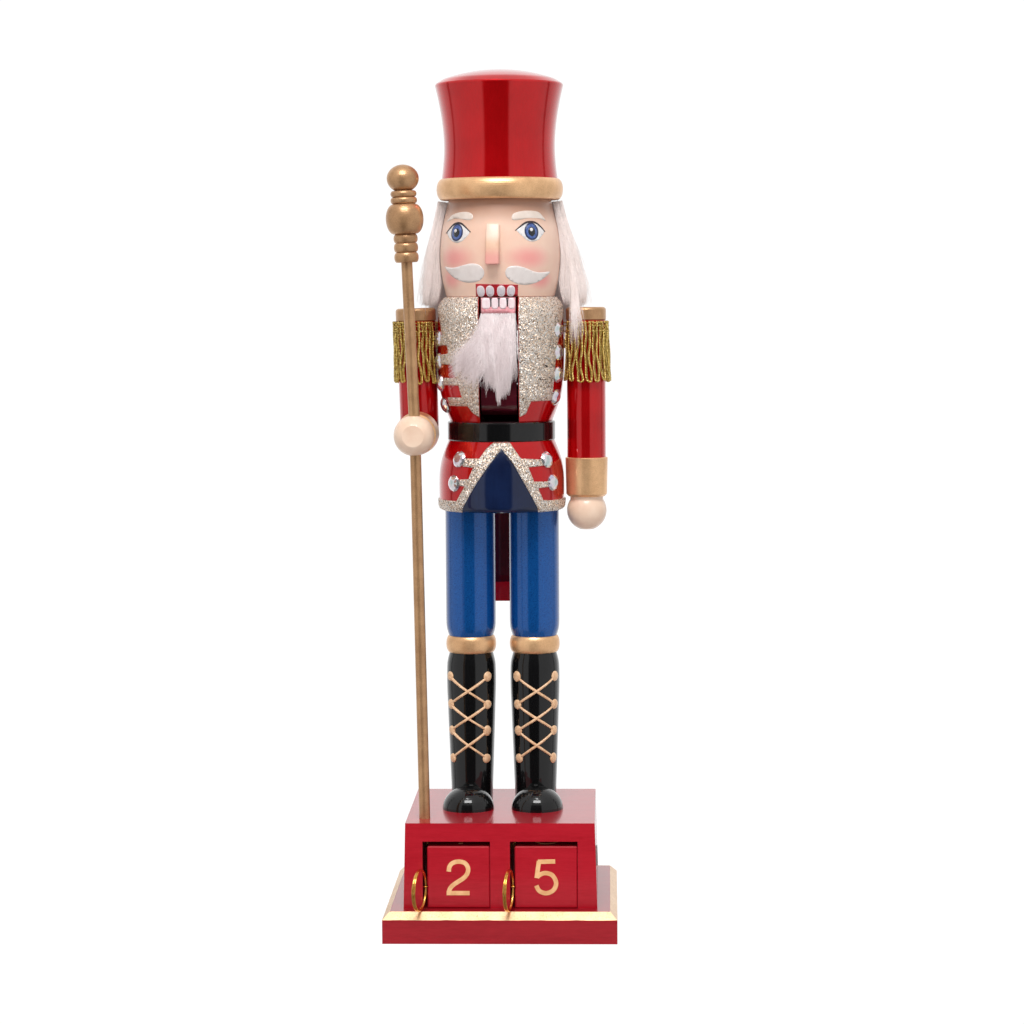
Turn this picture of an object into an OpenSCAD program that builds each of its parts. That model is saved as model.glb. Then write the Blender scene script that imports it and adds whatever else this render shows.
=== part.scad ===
// Wooden soldier figure on a countdown stand. Millimetres, +Z up, front facing -Y.
// The origin is the centre of the stand's underside. Left and right are as seen from the front.

/* [Stand] */
// Side of the square foot board
plinth_w = 101; // [96:1:110]
// Height of the foot board's upright edge
plinth_edge_h = 10.3; // [9:0.1:12]
// Size of the 45 degree edge moulding on the foot board
plinth_bevel = 3.1; // [2:0.1:4]
// Width of the number box at its foot
box_w = 83.8; // [82:0.1:85]
// Width of the number box at its top
box_top_w = 81.8; // [81:0.1:83]
// Depth of the number box
box_d = 82; // [80:1:84]
// Height of the number box
box_h = 37.2; // [36:0.1:40]

/* [Number blocks] */
// Side of a number block
block_w = 27; // [26:0.1:27.2]
// Width and height of the bay that holds a block
bay_w = 29.2; // [29:0.1:29.6]
// Distance from the middle of the box to the middle of a bay
bay_x = 18.9; // [18.5:0.1:19.5]
// Edge chamfer of a block
block_chamfer = 0.5; // [0.2:0.1:1]
// Centre radius of a pull ring
ring_r = 8.7; // [7.5:0.1:8.8]
// Wire radius of a pull ring
ring_wire_r = 0.5; // [0.4:0.05:0.5]
// Rest angle of the left pull ring, out from straight ahead
left_ring_turn = 15; // [8:0.5:20]
// Rest angle of the right pull ring, out from straight ahead
right_ring_turn = 11.5; // [6:0.5:16]

/* [Figure] */
// How far the figure stands behind the middle of the stand
figure_y = 8; // [6:0.5:10]
// Sideways distance from the middle of the figure to a leg
leg_x = 14.2; // [13.8:0.1:15]
// Radius of a trouser leg
leg_r = 11.1; // [10.5:0.1:11.3]
// How far the toes are turned out
toe_splay = 1.1; // [0:0.1:1.5]
// Mean sideways distance from the middle of the figure to an arm
arm_x = 37; // [36.9:0.1:39]
// Outward lean of the raised upper arm, in degrees
raised_tilt = 1.5; // [1:0.1:2]
// Radius of a sleeve
arm_r = 8.6; // [8.2:0.05:8.7]
// Radius of a cuff at its open end
cuff_r = 9.05; // [8.8:0.05:9.2]
// Radius of a hand ball
hand_r = 8.8; // [8.4:0.1:9.2]
// Turn of the nose and eyes towards the staff, in degrees
face_turn = 4.5; // [0:0.5:6]

/* [Jaw lever] */
// Width of the jaw lever
lever_w = 15.4; // [14:0.1:16]
// Width of the slot that the lever works in
slot_w = 17; // [16.4:0.1:18]
// Radius of the lever's pivot pin
pin_r = 1.5; // [1:0.1:2]

/* [Staff] */
// Radius of the staff
staff_r = 2.4; // [2:0.05:2.6]
// Sideways distance from the middle of the stand to the staff's foot
staff_foot_x = 33.2; // [32.5:0.1:34]
// Sideways lean of the lower staff, in degrees
staff_lean = 0.9; // [0.7:0.1:1.2]
// Sideways lean of the upper staff, in degrees
upper_lean = 2.2; // [1:0.1:2.5]

/* [Gems] */
// Radius of a gem
gem_r = 3.65; // [3:0.05:4]
// Angle from the front to the left row of coat gems
gem_turn_left = 72; // [68:1:76]
// Angle from the front to the right row of coat gems
gem_turn_right = 65; // [58:1:70]

/* [Hidden] */
$fn = 96;
glue = 0.05;
run = 0.06;
eps = 0.01;

// Heights of the joints between the stacked pieces
plinth_h = plinth_edge_h + plinth_bevel;
box_top = plinth_h + box_h;
knee_bottom = 118.8;
knee_top = 126.4;
skirt_bottom = 183.2;
belt_bottom = 213.6;
belt_top = 222;
torso_top = 277;
head_top = 319.3;
band_top = 328.6;
hat_top = 376.4;

// Number blocks: each sits against the right wall of its bay
bay_top = plinth_h + bay_w;
bay_d = 28;
bay_wall_gap = 0.15;
block_lift = 0.1;
box_front = -box_d / 2;
block_x = [-bay_x + (bay_w - block_w) / 2 - bay_wall_gap, bay_x + (bay_w - block_w) / 2 - bay_wall_gap];
eye_r = 0.88;
eye_wire_r = 0.3;
eye_stand_off = 0.8;
eye_setback = 1.2;
eye_shank = 6;
ring_z = plinth_h + ring_r + ring_wire_r + 0.2;

// Jaw lever pivot, measured from the figure's own axis
pin_y = -6;
pin_z = 238;
pin_half = 26.2;
slot_roof = 262;
slot_back_y = -11.5;

// Arms
arm_top = 266.3;
cap_top = 272.1;
cap_r = 8.9;
cuff_l = 17.3;
cuff_bottom = 188.4;
wrist_drop = 6.4;
elbow_z = 217.4;
raised_cuff_y = -13.3;
raised_hand_y = raised_cuff_y - cuff_l - wrist_drop;
raised_arm_x = 0.7 - arm_x;
hanging_x = arm_x + 0.7;
hand_neck_r = 7.3;
raised_hand_flat = 1.3;
hanging_hand_flat = 0.5;
fringe_h = 27.2;
fringe_top_r = 9.5;
fringe_low_r = 10.6;
coat_r = 28.15;
soft_gap = 0.3;
gem_reach = 30.5;

// Staff: two rods that meet inside the raised hand, with heights along each rod's leaning axis
staff_y = figure_y + raised_hand_y;
staff_seat = 4;
lower_staff_l = elbow_z - box_top;
rod_gap = 1;
finial_foot = 74.4;
upper_staff_l = 89.2;

// Dowels
dowel_r = 3.2;
neck_dowel_r = 4;
small_dowel_r = 2;

// ---- curves ----

// One point of a smooth curve through b and c, at t from 0 to 1
function curve_point(a, b, c, d, t) =
    0.5 * (2 * b + (c - a) * t + (2 * a - 5 * b + 4 * c - d) * t * t
    + (3 * b - a - 3 * c + d) * t * t * t);

// Smooth curve through a list of [radius, height] points, n steps between neighbours
function smooth(p, n = 6) = [
    for (i = [0 : len(p) - 2])
        for (k = [0 : n - 1])
            curve_point(p[max(i - 1, 0)], p[i], p[i + 1], p[min(i + 2, len(p) - 1)], k / n),
    p[len(p) - 1]
];

// Arc of n steps about [cx, cy]
function arc(cx, cy, r, a0, a1, n = 8) =
    [for (k = [0 : n]) let (a = a0 + (a1 - a0) * k / n) [cx + r * cos(a), cy + r * sin(a)]];

// Rounded bead between two heights, from a neck radius out to a full radius
function bead(neck, full, z0, z1, n = 12) = [
    for (k = [0 : n])
        let (a = -90 + 180 * k / n)
            [neck + (full - neck) * cos(a), (z0 + z1) / 2 + (z1 - z0) / 2 * sin(a)]
];

// Radius on a [radius, height] outline at height z, straight between its points
function radius_at(p, z) =
    let (near = [for (i = [0 : len(p) - 2]) if (p[i][1] <= z && z <= p[i + 1][1]) i], i = near[0])
    p[i][0] + (p[i + 1][0] - p[i][0]) * (z - p[i][1]) / (p[i + 1][1] - p[i][1]);

// ---- turned outlines, bottom to top ----

torso_outline = smooth([[22.7, belt_top], [24.5, 226.7], [26.1, 231.2], [27.2, 236], [28, 246],
    [28.1, 258], [27.8, 268], [26.4, 273.4], [23.6, torso_top]]);
skirt_outline = smooth([[26.4, skirt_bottom], [27.6, 184.4], [27.8, 188], [27.75, 198], [26.85, 204.4],
    [25.4, 209], [23.6, belt_bottom]]);
belt_outline = [[23.5, belt_bottom], [23.9, belt_bottom + 0.5], [23.9, belt_top - 0.5], [23.5, belt_top]];
head_outline = smooth([[23.9, torso_top], [25.3, 283], [26.3, 290], [26.5, 297], [25.8, 305],
    [24.4, 312], [22.6, head_top]]);
band_outline = bead(25.5, 27.9, head_top, band_top, 16);
hat_outline = concat(
    smooth([[25.6, band_top], [25.1, 332.6], [24.65, 337.5], [24.45, 342], [24.6, 347], [25.1, 352.5],
    [25.9, 358], [26.9, 363.3], [28.1, 368.6]]),
    [[28.25, 369.1], [28.2, 369.6]],
    smooth([[27.9, 370.1], [25.3, 371.8], [22.8, 372.8], [18.4, 374.1], [12.1, 375.4], [6, 376.1],
    [0, hat_top]], 4));
trouser_outline = concat(smooth([[9.9, knee_top], [10.5, 128.3], [10.85, 129.8], [11.03, 131.5],
    [leg_r, 134]], 4), [[leg_r, skirt_bottom]]);
knee_outline = bead(9.6, 11.15, knee_bottom, knee_top, 14);
boot_outline = smooth([[9.2, box_top], [9.35, 58.4], [9.65, 66], [10, 76], [10.35, 85.5], [10.65, 94.6],
    [10.9, 101], [11, 107], [10.9, 112.5], [10.55, 115.4], [9.65, knee_bottom]], 3);

// Solid turned about the vertical axis from an outline
module turned(outline) {
    rotate_extrude()
        polygon(concat([[0, outline[0][1]]], outline, [[0, outline[len(outline) - 1][1]]]));
}

module at_figure(x = 0) {
    translate([x, figure_y, 0])
        children();
}

// Upright round rod between two heights
module upright(r, z0, z1) {
    translate([0, 0, z0])
        cylinder(r = r, h = z1 - z0);
}

// Flat outline in the Y-Z plane, made w wide across X
module side_plate(outline, w) {
    rotate([90, 0, 90])
        linear_extrude(height = w, center = true)
            polygon(outline);
}

// ---- stand ----

module bevelled_bar() {
    half = plinth_w / 2;
    rotate([90, 0, 0])
        linear_extrude(height = plinth_w, center = true)
            polygon([[-half, 0], [half, 0], [half, plinth_edge_h], [half - plinth_bevel, plinth_h],
                [plinth_bevel - half, plinth_h], [-half, plinth_edge_h]]);
}

screw_places = [[-37.3, -27], [37.3, -27], [-28, 28], [28, 28]];
screw_top = 34;
screw_r = 1.6;
screw_head_r = 3.4;
screw_sink = 0.4;

module plinth() {
    color("firebrick")
    difference() {
        intersection() {
            bevelled_bar();
            rotate([0, 0, 90])
                bevelled_bar();
        }
        for (p = screw_places)
            translate([p[0], p[1], 0]) {
                upright(screw_r + glue, -1, plinth_h + 1);
                upright(screw_head_r + glue, -1, screw_sink);
                translate([0, 0, screw_sink - eps])
                    cylinder(r1 = screw_head_r + glue, r2 = screw_r + glue, h = 2);
            }
    }
}

module box_screws() {
    color("silver")
    for (p = screw_places)
        translate([p[0], p[1], 0])
            difference() {
                union() {
                    upright(screw_r, screw_sink, screw_top - 2);
                    translate([0, 0, screw_top - 2])
                        cylinder(r1 = screw_r, r2 = 0.4, h = 2);
                    translate([0, 0, screw_sink])
                        cylinder(r1 = screw_head_r, r2 = screw_r, h = 1.9);
                }
                for (a = [0, 90])
                    rotate([0, 0, a])
                        translate([-1.8, -0.3, screw_sink - eps])
                            cube([3.6, 0.6, 1]);
            }
}

module number_box() {
    color("firebrick")
    difference() {
        rotate([90, 0, 0])
            linear_extrude(height = box_d, center = true)
                polygon([[-box_w / 2, plinth_h], [box_w / 2, plinth_h], [box_top_w / 2, box_top],
                    [-box_top_w / 2, box_top]]);
        for (side = [-1, 1])
            translate([side * bay_x - bay_w / 2, box_front - 1, plinth_h - 1])
                cube([bay_w, bay_d + 1, bay_w + 1]);
        for (p = screw_places)
            translate([p[0], p[1], 0])
                upright(screw_r + glue, 0, screw_top + 0.5);
        for (side = [-1, 1])
            at_figure(side * leg_x)
                upright(dowel_r + glue, leg_dowel_foot - 0.5, box_top + 1);
        along_lower_staff()
            upright(staff_r + glue, -staff_seat - 0.2, 2);
    }
}

// ---- number blocks ----

module chamfered_square(w) {
    polygon([for (q = [0 : 3]) for (k = [0, 1])
        let (a = 90 * q, s = w / 2, t = w / 2 - block_chamfer,
            x = k == 0 ? s : t, y = k == 0 ? t : s)
            [x * cos(a) - y * sin(a), x * sin(a) + y * cos(a)]]);
}

module chamfered_cube(w) {
    intersection_for (r = [[0, 0, 0], [90, 0, 0], [0, 90, 0]])
        rotate(r)
            linear_extrude(height = w, center = true)
                chamfered_square(w);
}

// Centre of the screw eye's loop, for bay 0 or 1
function eye_place(i) =
    [block_x[i] - block_w / 2 - eye_stand_off, box_front + eye_setback, ring_z];

module number_block(i) {
    difference() {
        translate([block_x[i], box_front + block_w / 2, plinth_h + block_lift + block_w / 2])
            chamfered_cube(block_w);
        translate(eye_place(i))
            rotate([0, 90, 0]) {
                cylinder(r = eye_wire_r + glue, h = eye_shank + 0.4);
                cylinder(r = 1, h = eye_stand_off + 0.45);
            }
    }
}

module screw_eye(i) {
    translate(eye_place(i)) {
        rotate_extrude()
            translate([eye_r, 0])
                circle(r = eye_wire_r, $fn = 32);
        translate([eye_r, 0, 0])
            rotate([0, 90, 0])
                cylinder(r = eye_wire_r, h = eye_shank - eye_r, $fn = 32);
    }
}

// Ring hanging forward from the eye, turned out to the left
module pull_ring(i, turn) {
    translate(eye_place(i))
        rotate([0, 0, -turn])
            translate([0, -ring_r, 0])
                rotate([0, 90, 0])
                    rotate_extrude()
                        translate([ring_r, 0])
                            circle(r = ring_wire_r, $fn = 32);
}

module left_block() { color("firebrick") number_block(0); }
module right_block() { color("firebrick") number_block(1); }
module left_screw_eye() { color("gold") screw_eye(0); }
module right_screw_eye() { color("gold") screw_eye(1); }
module left_pull_ring() { color("gold") pull_ring(0, left_ring_turn); }
module right_pull_ring() { color("gold") pull_ring(1, right_ring_turn); }

// ---- legs ----

leg_dowel_foot = 36;
leg_dowel_head = 200;
toe_r = 11.5;
toe_h = 9.9;
toe_y = -14.3;

// One turned leg piece with the dowel's bore through it
module leg_piece(x, outline) {
    at_figure(x)
        difference() {
            turned(outline);
            upright(dowel_r + glue, 0, leg_dowel_head + 1);
        }
}

// Half dome in front of the boot, hollowed to fit round the boot's shaft
module toe_cap(side) {
    at_figure(side * leg_x)
        difference() {
            translate([side * toe_splay, toe_y, box_top])
                turned([for (k = [0 : 14]) let (a = 90 * k / 14) [toe_r * cos(a), toe_h * sin(a)]]);
            translate([0, 0, box_top])
                cylinder(r1 = 9.26, r2 = 9.66, h = 14);
        }
}

module left_boot() { color("black") leg_piece(-leg_x, boot_outline); }
module right_boot() { color("black") leg_piece(leg_x, boot_outline); }
module left_toe_cap() { color("black") toe_cap(-1); }
module right_toe_cap() { color("black") toe_cap(1); }
module left_knee_bead() { color("peru") leg_piece(-leg_x, knee_outline); }
module right_knee_bead() { color("peru") leg_piece(leg_x, knee_outline); }
module left_trouser() { color("royalblue") leg_piece(-leg_x, trouser_outline); }
module right_trouser() { color("royalblue") leg_piece(leg_x, trouser_outline); }

module leg_dowels() {
    color("burlywood")
    for (side = [-1, 1])
        at_figure(side * leg_x)
            upright(dowel_r, leg_dowel_foot, leg_dowel_head);
}

// ---- coat ----

waist_dowel_x = 15.5;
waist_dowel_z = [206, 234];
shoulder_dowel_z = 256;

module waist_bores() {
    for (side = [-1, 1])
        translate([side * waist_dowel_x, 0, 0])
            upright(dowel_r + glue, waist_dowel_z[0] - 0.5, waist_dowel_z[1] + 0.5);
}

module coat_skirt() {
    color("crimson")
    at_figure()
        difference() {
            turned(skirt_outline);
            waist_bores();
            for (side = [-1, 1])
                translate([side * leg_x, 0, 0])
                    upright(dowel_r + glue, 0, leg_dowel_head + 0.5);
        }
}

module waist_belt() {
    color("black")
    at_figure()
        difference() {
            turned(belt_outline);
            waist_bores();
        }
}

module waist_dowels() {
    color("burlywood")
    at_figure()
        for (side = [-1, 1])
            translate([side * waist_dowel_x, 0, 0])
                upright(dowel_r, waist_dowel_z[0], waist_dowel_z[1]);
}

module shoulder_bore(side, r, inner, outer) {
    translate([side * inner, 0, shoulder_dowel_z])
        rotate([0, side * 90, 0])
            cylinder(r = r, h = outer - inner);
}

module torso() {
    color("crimson")
    at_figure()
        difference() {
            turned(torso_outline);
            translate([-slot_w / 2, -40, belt_top - 1])
                cube([slot_w, 40 + slot_back_y, torso_top]);
            translate([-slot_w / 2, slot_back_y - eps, belt_top - 1])
                cube([slot_w, 50, slot_roof - belt_top + 1]);
            translate([-40, pin_y, pin_z])
                rotate([0, 90, 0])
                    cylinder(r = pin_r + glue, h = 80);
            waist_bores();
            upright(neck_dowel_r + glue, neck_dowel_z[0] - 0.5, torso_top + 1);
            for (side = [-1, 1])
                shoulder_bore(side, small_dowel_r + glue, 20, 40);
        }
}

// ---- jaw lever ----

lever_front = -25.6;
lever_back = -12.5;
tail_front = 29.2;
tail_back = 36.2;
tail_bottom = 138.4;
tail_lip = 3;
lever_top = torso_top - 0.3;

lever_outline = concat(
    [[lever_front + 0.2, lever_top], [lever_front, lever_top - 0.2], [lever_front, 239]],
    [[-25.4, 233], [-24.6, 229.7], [-22.6, 227.5], [-17, 225.3], [-6, 224.3], [tail_front - 2, 224.3]],
    arc(tail_front - 2, 222.3, 2, 90, 0, 4),
    [[tail_front, 150], [tail_front - tail_lip, 142]],
    arc(tail_front - tail_lip + 1, tail_bottom + 1, 1, 180, 270, 4),
    arc(tail_back - 1, tail_bottom + 1, 1, 270, 360, 4),
    arc(tail_back - 10, 236, 10, 0, 90, 12),
    [[8, 247], [-6, 249.5]],
    arc(lever_back + 5, 256, 5, 270, 180, 6),
    [[lever_back, lever_top]]);

module jaw_lever() {
    color("maroon")
    at_figure()
        difference() {
            side_plate(lever_outline, lever_w);
            translate([-lever_w, pin_y, pin_z])
                rotate([0, 90, 0])
                    cylinder(r = pin_r + run, h = 2 * lever_w);
        }
}

module lever_pin() {
    color("silver")
    at_figure()
        translate([-pin_half, pin_y, pin_z])
            rotate([0, 90, 0])
                cylinder(r = pin_r, h = 2 * pin_half);
}

// Beard on the lever's front, held clear of the coat on both sides of the slot
module beard() {
    color("white")
    at_figure()
        difference() {
            hull() {
                translate([-6.5, -29, 262])
                    cube([13, 3.3, 8]);
                translate([-2, -32.4, 256])
                    sphere(r = 3.2, $fn = 32);
                translate([-1, -31.6, 241])
                    sphere(r = 3, $fn = 32);
                translate([-17, -31.6, 252])
                    sphere(r = 2.2, $fn = 32);
            }
            for (side = [-1, 1])
                intersection() {
                    upright(coat_r + soft_gap, 230, torso_top);
                    translate([side > 0 ? lever_w / 2 : -40, -40, 230])
                        cube([40 - lever_w / 2, 40, 50]);
                }
        }
}

// ---- head and hat ----

neck_dowel_z = [266, 292];
hat_dowel_z = [306, 345];
nose_w = 6;
nose_bottom = 290.7;
nose_top = 308.8;
nose_out = 5.6;

module head() {
    color("bisque")
    at_figure()
        difference() {
            turned(head_outline);
            upright(neck_dowel_r + glue, 270, neck_dowel_z[1] + 0.5);
            upright(neck_dowel_r + glue, hat_dowel_z[0] - 0.5, 330);
        }
}

// Wedge whose back is cut to the curve of the head
module nose() {
    color("bisque")
    at_figure()
        rotate([0, 0, -face_turn])
            difference() {
                side_plate([[-20, nose_bottom], [-26.4 - nose_out, nose_bottom],
                    [-26.5 - nose_out, nose_bottom + 0.8], [-26.6, nose_top - 0.6],
                    [-26.2, nose_top], [-20, nose_top]], nose_w);
                turned(head_outline);
            }
}

// Fur strip round the sides and back of the head, open over the face
module hair() {
    half_face = 76;
    color("white")
    at_figure()
        rotate([0, 0, half_face - 90])
            rotate_extrude(angle = 360 - 2 * half_face)
                polygon([[26.8, 274], [33.5, 274], [32.5, 288], [30.5, 304], [28.6, 318.6],
                    [26.8, 318.6]]);
}

module neck_dowel() {
    color("burlywood") at_figure() upright(neck_dowel_r, neck_dowel_z[0], neck_dowel_z[1]);
}

module hat_band() {
    color("peru")
    at_figure()
        difference() {
            turned(band_outline);
            upright(neck_dowel_r + glue, 300, 350);
        }
}

module hat_crown() {
    color("crimson")
    at_figure()
        difference() {
            turned(hat_outline);
            upright(neck_dowel_r + glue, 300, hat_dowel_z[1] + 0.5);
        }
}

module hat_dowel() {
    color("burlywood") at_figure() upright(neck_dowel_r, hat_dowel_z[0], hat_dowel_z[1]);
}

// ---- arms ----

wrist_dowel_half = 7;
cuff_flare = 0.35;

module shoulder_bores() {
    for (side = [-1, 1])
        shoulder_bore(side, small_dowel_r + glue, 20, side < 0 ? -raised_arm_x : hanging_x);
}

// Frame of the raised upper arm, which leans out from the elbow
module at_raised_shoulder() {
    at_figure(raised_arm_x)
        translate([0, 0, elbow_z])
            rotate([0, -raised_tilt, 0])
                translate([0, 0, -elbow_z])
                    children();
}

module left_upper_arm() {
    color("crimson")
    difference() {
        at_raised_shoulder()
            upright(arm_r, 200, arm_top);
        at_figure() {
            elbow_cut(false);
            shoulder_bores();
        }
    }
}

// Cutting block on one side of the elbow's 45 degree mitre: lower it removes the space
// in front of and below the joint, upper the space behind and above it
module elbow_cut(upper) {
    reach = 60;
    translate([raised_arm_x, 0, elbow_z])
        rotate([-45, 0, 0])
            translate([-reach / 2, -reach, upper ? 0 : -reach])
                cube([reach, 2 * reach, reach]);
}

// Rod along -Y, from one distance in front of the arm to another
module forward(r, y0, y1) {
    translate([raised_arm_x, y1, elbow_z])
        rotate([-90, 0, 0])
            cylinder(r = r, h = y0 - y1);
}

module left_forearm() {
    color("crimson")
    at_figure()
        difference() {
            forward(arm_r, 20, raised_cuff_y);
            elbow_cut(true);
        }
}

module right_arm() {
    color("crimson")
    at_figure()
        difference() {
            translate([hanging_x, 0, 0])
                upright(arm_r, cuff_bottom + cuff_l, arm_top);
            shoulder_bores();
        }
}

module shoulder_dowels() {
    color("burlywood")
    at_figure()
        for (side = [-1, 1])
            shoulder_bore(side, small_dowel_r, 20.5, (side < 0 ? -raised_arm_x : hanging_x) - 0.5);
}

module shoulder_cap() {
    turned(concat([[cap_r - 0.4, arm_top], [cap_r, arm_top + 0.4]],
        arc(cap_r - 1.4, cap_top - 1.4, 1.4, 0, 90, 6)));
}

module left_shoulder_cap() { color("peru") at_raised_shoulder() shoulder_cap(); }
module right_shoulder_cap() { color("peru") at_figure(hanging_x) shoulder_cap(); }

// Fringe skirt round the sleeve
module fringe_sleeve() {
    translate([0, 0, arm_top - 0.2 - fringe_h])
        difference() {
            cylinder(r1 = fringe_low_r, r2 = fringe_top_r, h = fringe_h);
            translate([0, 0, -1])
                cylinder(r = arm_r + 0.1, h = fringe_h + 2);
        }
}

// Space that a fringe leaves for the coat, its gems and the shoulder dowels
module fringe_clearance() {
    upright(coat_r + soft_gap, 230, 270);
    intersection() {
        upright(gem_reach, 230, 270);
        translate([-40, -42, 230])
            cube([80, 40, 40]);
    }
    shoulder_bores();
}

module left_fringe() {
    color("goldenrod")
    difference() {
        at_raised_shoulder()
            fringe_sleeve();
        at_figure()
            fringe_clearance();
    }
}

module right_fringe() {
    color("goldenrod")
    difference() {
        at_figure(hanging_x)
            fringe_sleeve();
        at_figure()
            fringe_clearance();
    }
}

module cuff_body() {
    turned([[cuff_r - 0.9, 0], [cuff_r, 1], [cuff_r + cuff_flare, cuff_l - 0.3],
        [cuff_r + cuff_flare - 0.3, cuff_l]]);
}

module wrist_bore(clear) {
    translate([0, 0, -wrist_dowel_half])
        cylinder(r = small_dowel_r + clear, h = 2 * wrist_dowel_half);
}

// Places its child with +Z running up the forearm from the open end of the cuff
module at_left_wrist() {
    at_figure(raised_arm_x)
        translate([0, raised_cuff_y - cuff_l, elbow_z])
            rotate([-90, 0, 0])
                children();
}

module at_right_wrist() {
    at_figure(hanging_x)
        translate([0, 0, cuff_bottom])
            children();
}

module left_cuff() {
    color("peru")
    at_left_wrist()
        difference() {
            cuff_body();
            wrist_bore(glue);
        }
}

module right_cuff() {
    color("peru")
    at_right_wrist()
        difference() {
            cuff_body();
            wrist_bore(glue);
        }
}

// Turned ball on a short neck under the cuff, with a flat of the given depth at its far end
module hand_ball(flat) {
    low = acos(1 - flat / hand_r) - 90;
    high = acos(hand_neck_r / hand_r);
    difference() {
        turned(concat(arc(0, -wrist_drop, hand_r, low, high, 24), [[hand_neck_r, 0]]));
        wrist_bore(glue);
    }
}

module left_hand() {
    color("bisque")
    difference() {
        at_left_wrist()
            hand_ball(raised_hand_flat);
        along_lower_staff()
            upright(staff_r + glue, lower_staff_l - 20, lower_staff_l - rod_gap + 0.2);
        along_upper_staff()
            upright(staff_r + glue, rod_gap - 0.2, 20);
    }
}

module right_hand() { color("bisque") at_right_wrist() hand_ball(hanging_hand_flat); }

module wrist_dowels() {
    color("burlywood") {
        at_left_wrist()
            upright(small_dowel_r, -3.6, wrist_dowel_half - 0.5);
        at_right_wrist()
            upright(small_dowel_r, -wrist_dowel_half + 0.5, wrist_dowel_half - 0.5);
    }
}

// ---- staff ----

// Frame whose +Z runs up the lower staff from the top of the stand
module along_lower_staff() {
    translate([-staff_foot_x, staff_y, box_top])
        rotate([0, -staff_lean, 0])
            children();
}

// Frame whose +Z runs up the upper staff from the middle of the raised hand
module along_upper_staff() {
    translate([-staff_foot_x - lower_staff_l * tan(staff_lean), staff_y, elbow_z])
        rotate([0, -upper_lean, 0])
            children();
}

// Outline of the finial from its own foot, bottom to top
finial_outline = concat(
    bead(4.2, 5.25, 0, 4.3, 10),
    bead(4.3, 5.2, 4.4, 8.3, 10),
    bead(4.3, 5.2, 8.4, 12, 10),
    bead(4.6, 8.1, 12.1, 25, 20),
    bead(4.8, 5.7, 25.1, 27.8, 10),
    bead(4.6, 5.6, 27.9, 30.6, 10),
    [for (k = [0 : 18]) let (a = -62 + 152 * k / 18) [6.9 * cos(a), 35.8 + 6 * sin(a)]]);

module lower_staff() {
    color("peru") along_lower_staff() upright(staff_r, -staff_seat, lower_staff_l - rod_gap);
}

module upper_staff() {
    color("peru") along_upper_staff() upright(staff_r, rod_gap, upper_staff_l);
}

module staff_finial() {
    color("peru")
    along_upper_staff()
        difference() {
            translate([0, 0, finial_foot])
                turned(finial_outline);
            upright(staff_r + glue, finial_foot - 1, upper_staff_l + 0.5);
        }
}

// ---- gems ----

gem_h = 1.7;
coat_gem_step = 9.8;
coat_gem_top = [258.6, 262.2];
skirt_gems = [[-41.5, 206], [-46, 195.5], [49.5, 205.5], [55, 195.5]];

// Domed gem lying against a turned surface, at an angle from the front and a height
module gem(outline, turn, z) {
    span = 2.5;
    lean = atan((radius_at(outline, z + span) - radius_at(outline, z - span)) / (2 * span));
    stand_off = 0.12 + abs(lean) / 100;
    rotate([0, 0, turn])
        translate([0, -radius_at(outline, z), z])
            rotate([90 + lean, 0, 0])
                translate([0, 0, stand_off])
                    turned([[gem_r - 0.15, 0], [gem_r, 0.2], [gem_r * 0.55, gem_h]]);
}

module coat_gems() {
    color("white")
    at_figure() {
        for (side = [0, 1])
            for (k = [0 : 3])
                gem(torso_outline, side == 0 ? -gem_turn_left : gem_turn_right,
                    coat_gem_top[side] - k * coat_gem_step);
        for (g = skirt_gems)
            gem(skirt_outline, g[0], g[1]);
    }
}

plinth();
number_box();
box_screws();
left_block();
right_block();
left_screw_eye();
right_screw_eye();
left_pull_ring();
right_pull_ring();
left_boot();
right_boot();
left_toe_cap();
right_toe_cap();
left_knee_bead();
right_knee_bead();
left_trouser();
right_trouser();
leg_dowels();
coat_skirt();
waist_belt();
waist_dowels();
torso();
jaw_lever();
lever_pin();
beard();
head();
nose();
hair();
neck_dowel();
hat_band();
hat_crown();
hat_dowel();
left_upper_arm();
left_forearm();
right_arm();
shoulder_dowels();
left_shoulder_cap();
right_shoulder_cap();
left_fringe();
right_fringe();
left_cuff();
right_cuff();
left_hand();
right_hand();
wrist_dowels();
lower_staff();
upper_staff();
staff_finial();
coat_gems();
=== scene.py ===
"""Looks of the wooden nutcracker figure on its countdown stand.

Sizes below are in millimetres unless a name ends in _m. Angles round the figure are in degrees from the
front, positive towards +X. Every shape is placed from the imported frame.
"""
import math

import bmesh
import bpy
import numpy as np
from mathutils import Matrix, Vector


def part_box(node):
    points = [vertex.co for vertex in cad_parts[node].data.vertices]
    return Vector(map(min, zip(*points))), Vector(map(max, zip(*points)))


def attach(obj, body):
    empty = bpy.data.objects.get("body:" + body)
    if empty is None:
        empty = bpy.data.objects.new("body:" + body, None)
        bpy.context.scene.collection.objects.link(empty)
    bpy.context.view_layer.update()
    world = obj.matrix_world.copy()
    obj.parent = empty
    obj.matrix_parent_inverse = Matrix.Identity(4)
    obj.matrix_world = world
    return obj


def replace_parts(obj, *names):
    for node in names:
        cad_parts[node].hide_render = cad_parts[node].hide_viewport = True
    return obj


MM = 0.001
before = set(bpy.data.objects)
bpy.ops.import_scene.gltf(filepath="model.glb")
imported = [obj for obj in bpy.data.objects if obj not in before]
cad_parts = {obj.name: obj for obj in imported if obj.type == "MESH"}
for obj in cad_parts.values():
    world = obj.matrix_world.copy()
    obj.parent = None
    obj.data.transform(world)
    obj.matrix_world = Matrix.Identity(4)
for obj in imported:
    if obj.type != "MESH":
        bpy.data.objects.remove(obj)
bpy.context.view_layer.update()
rng = np.random.default_rng(11)


# ---------------------------------------------------------------- materials

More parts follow.
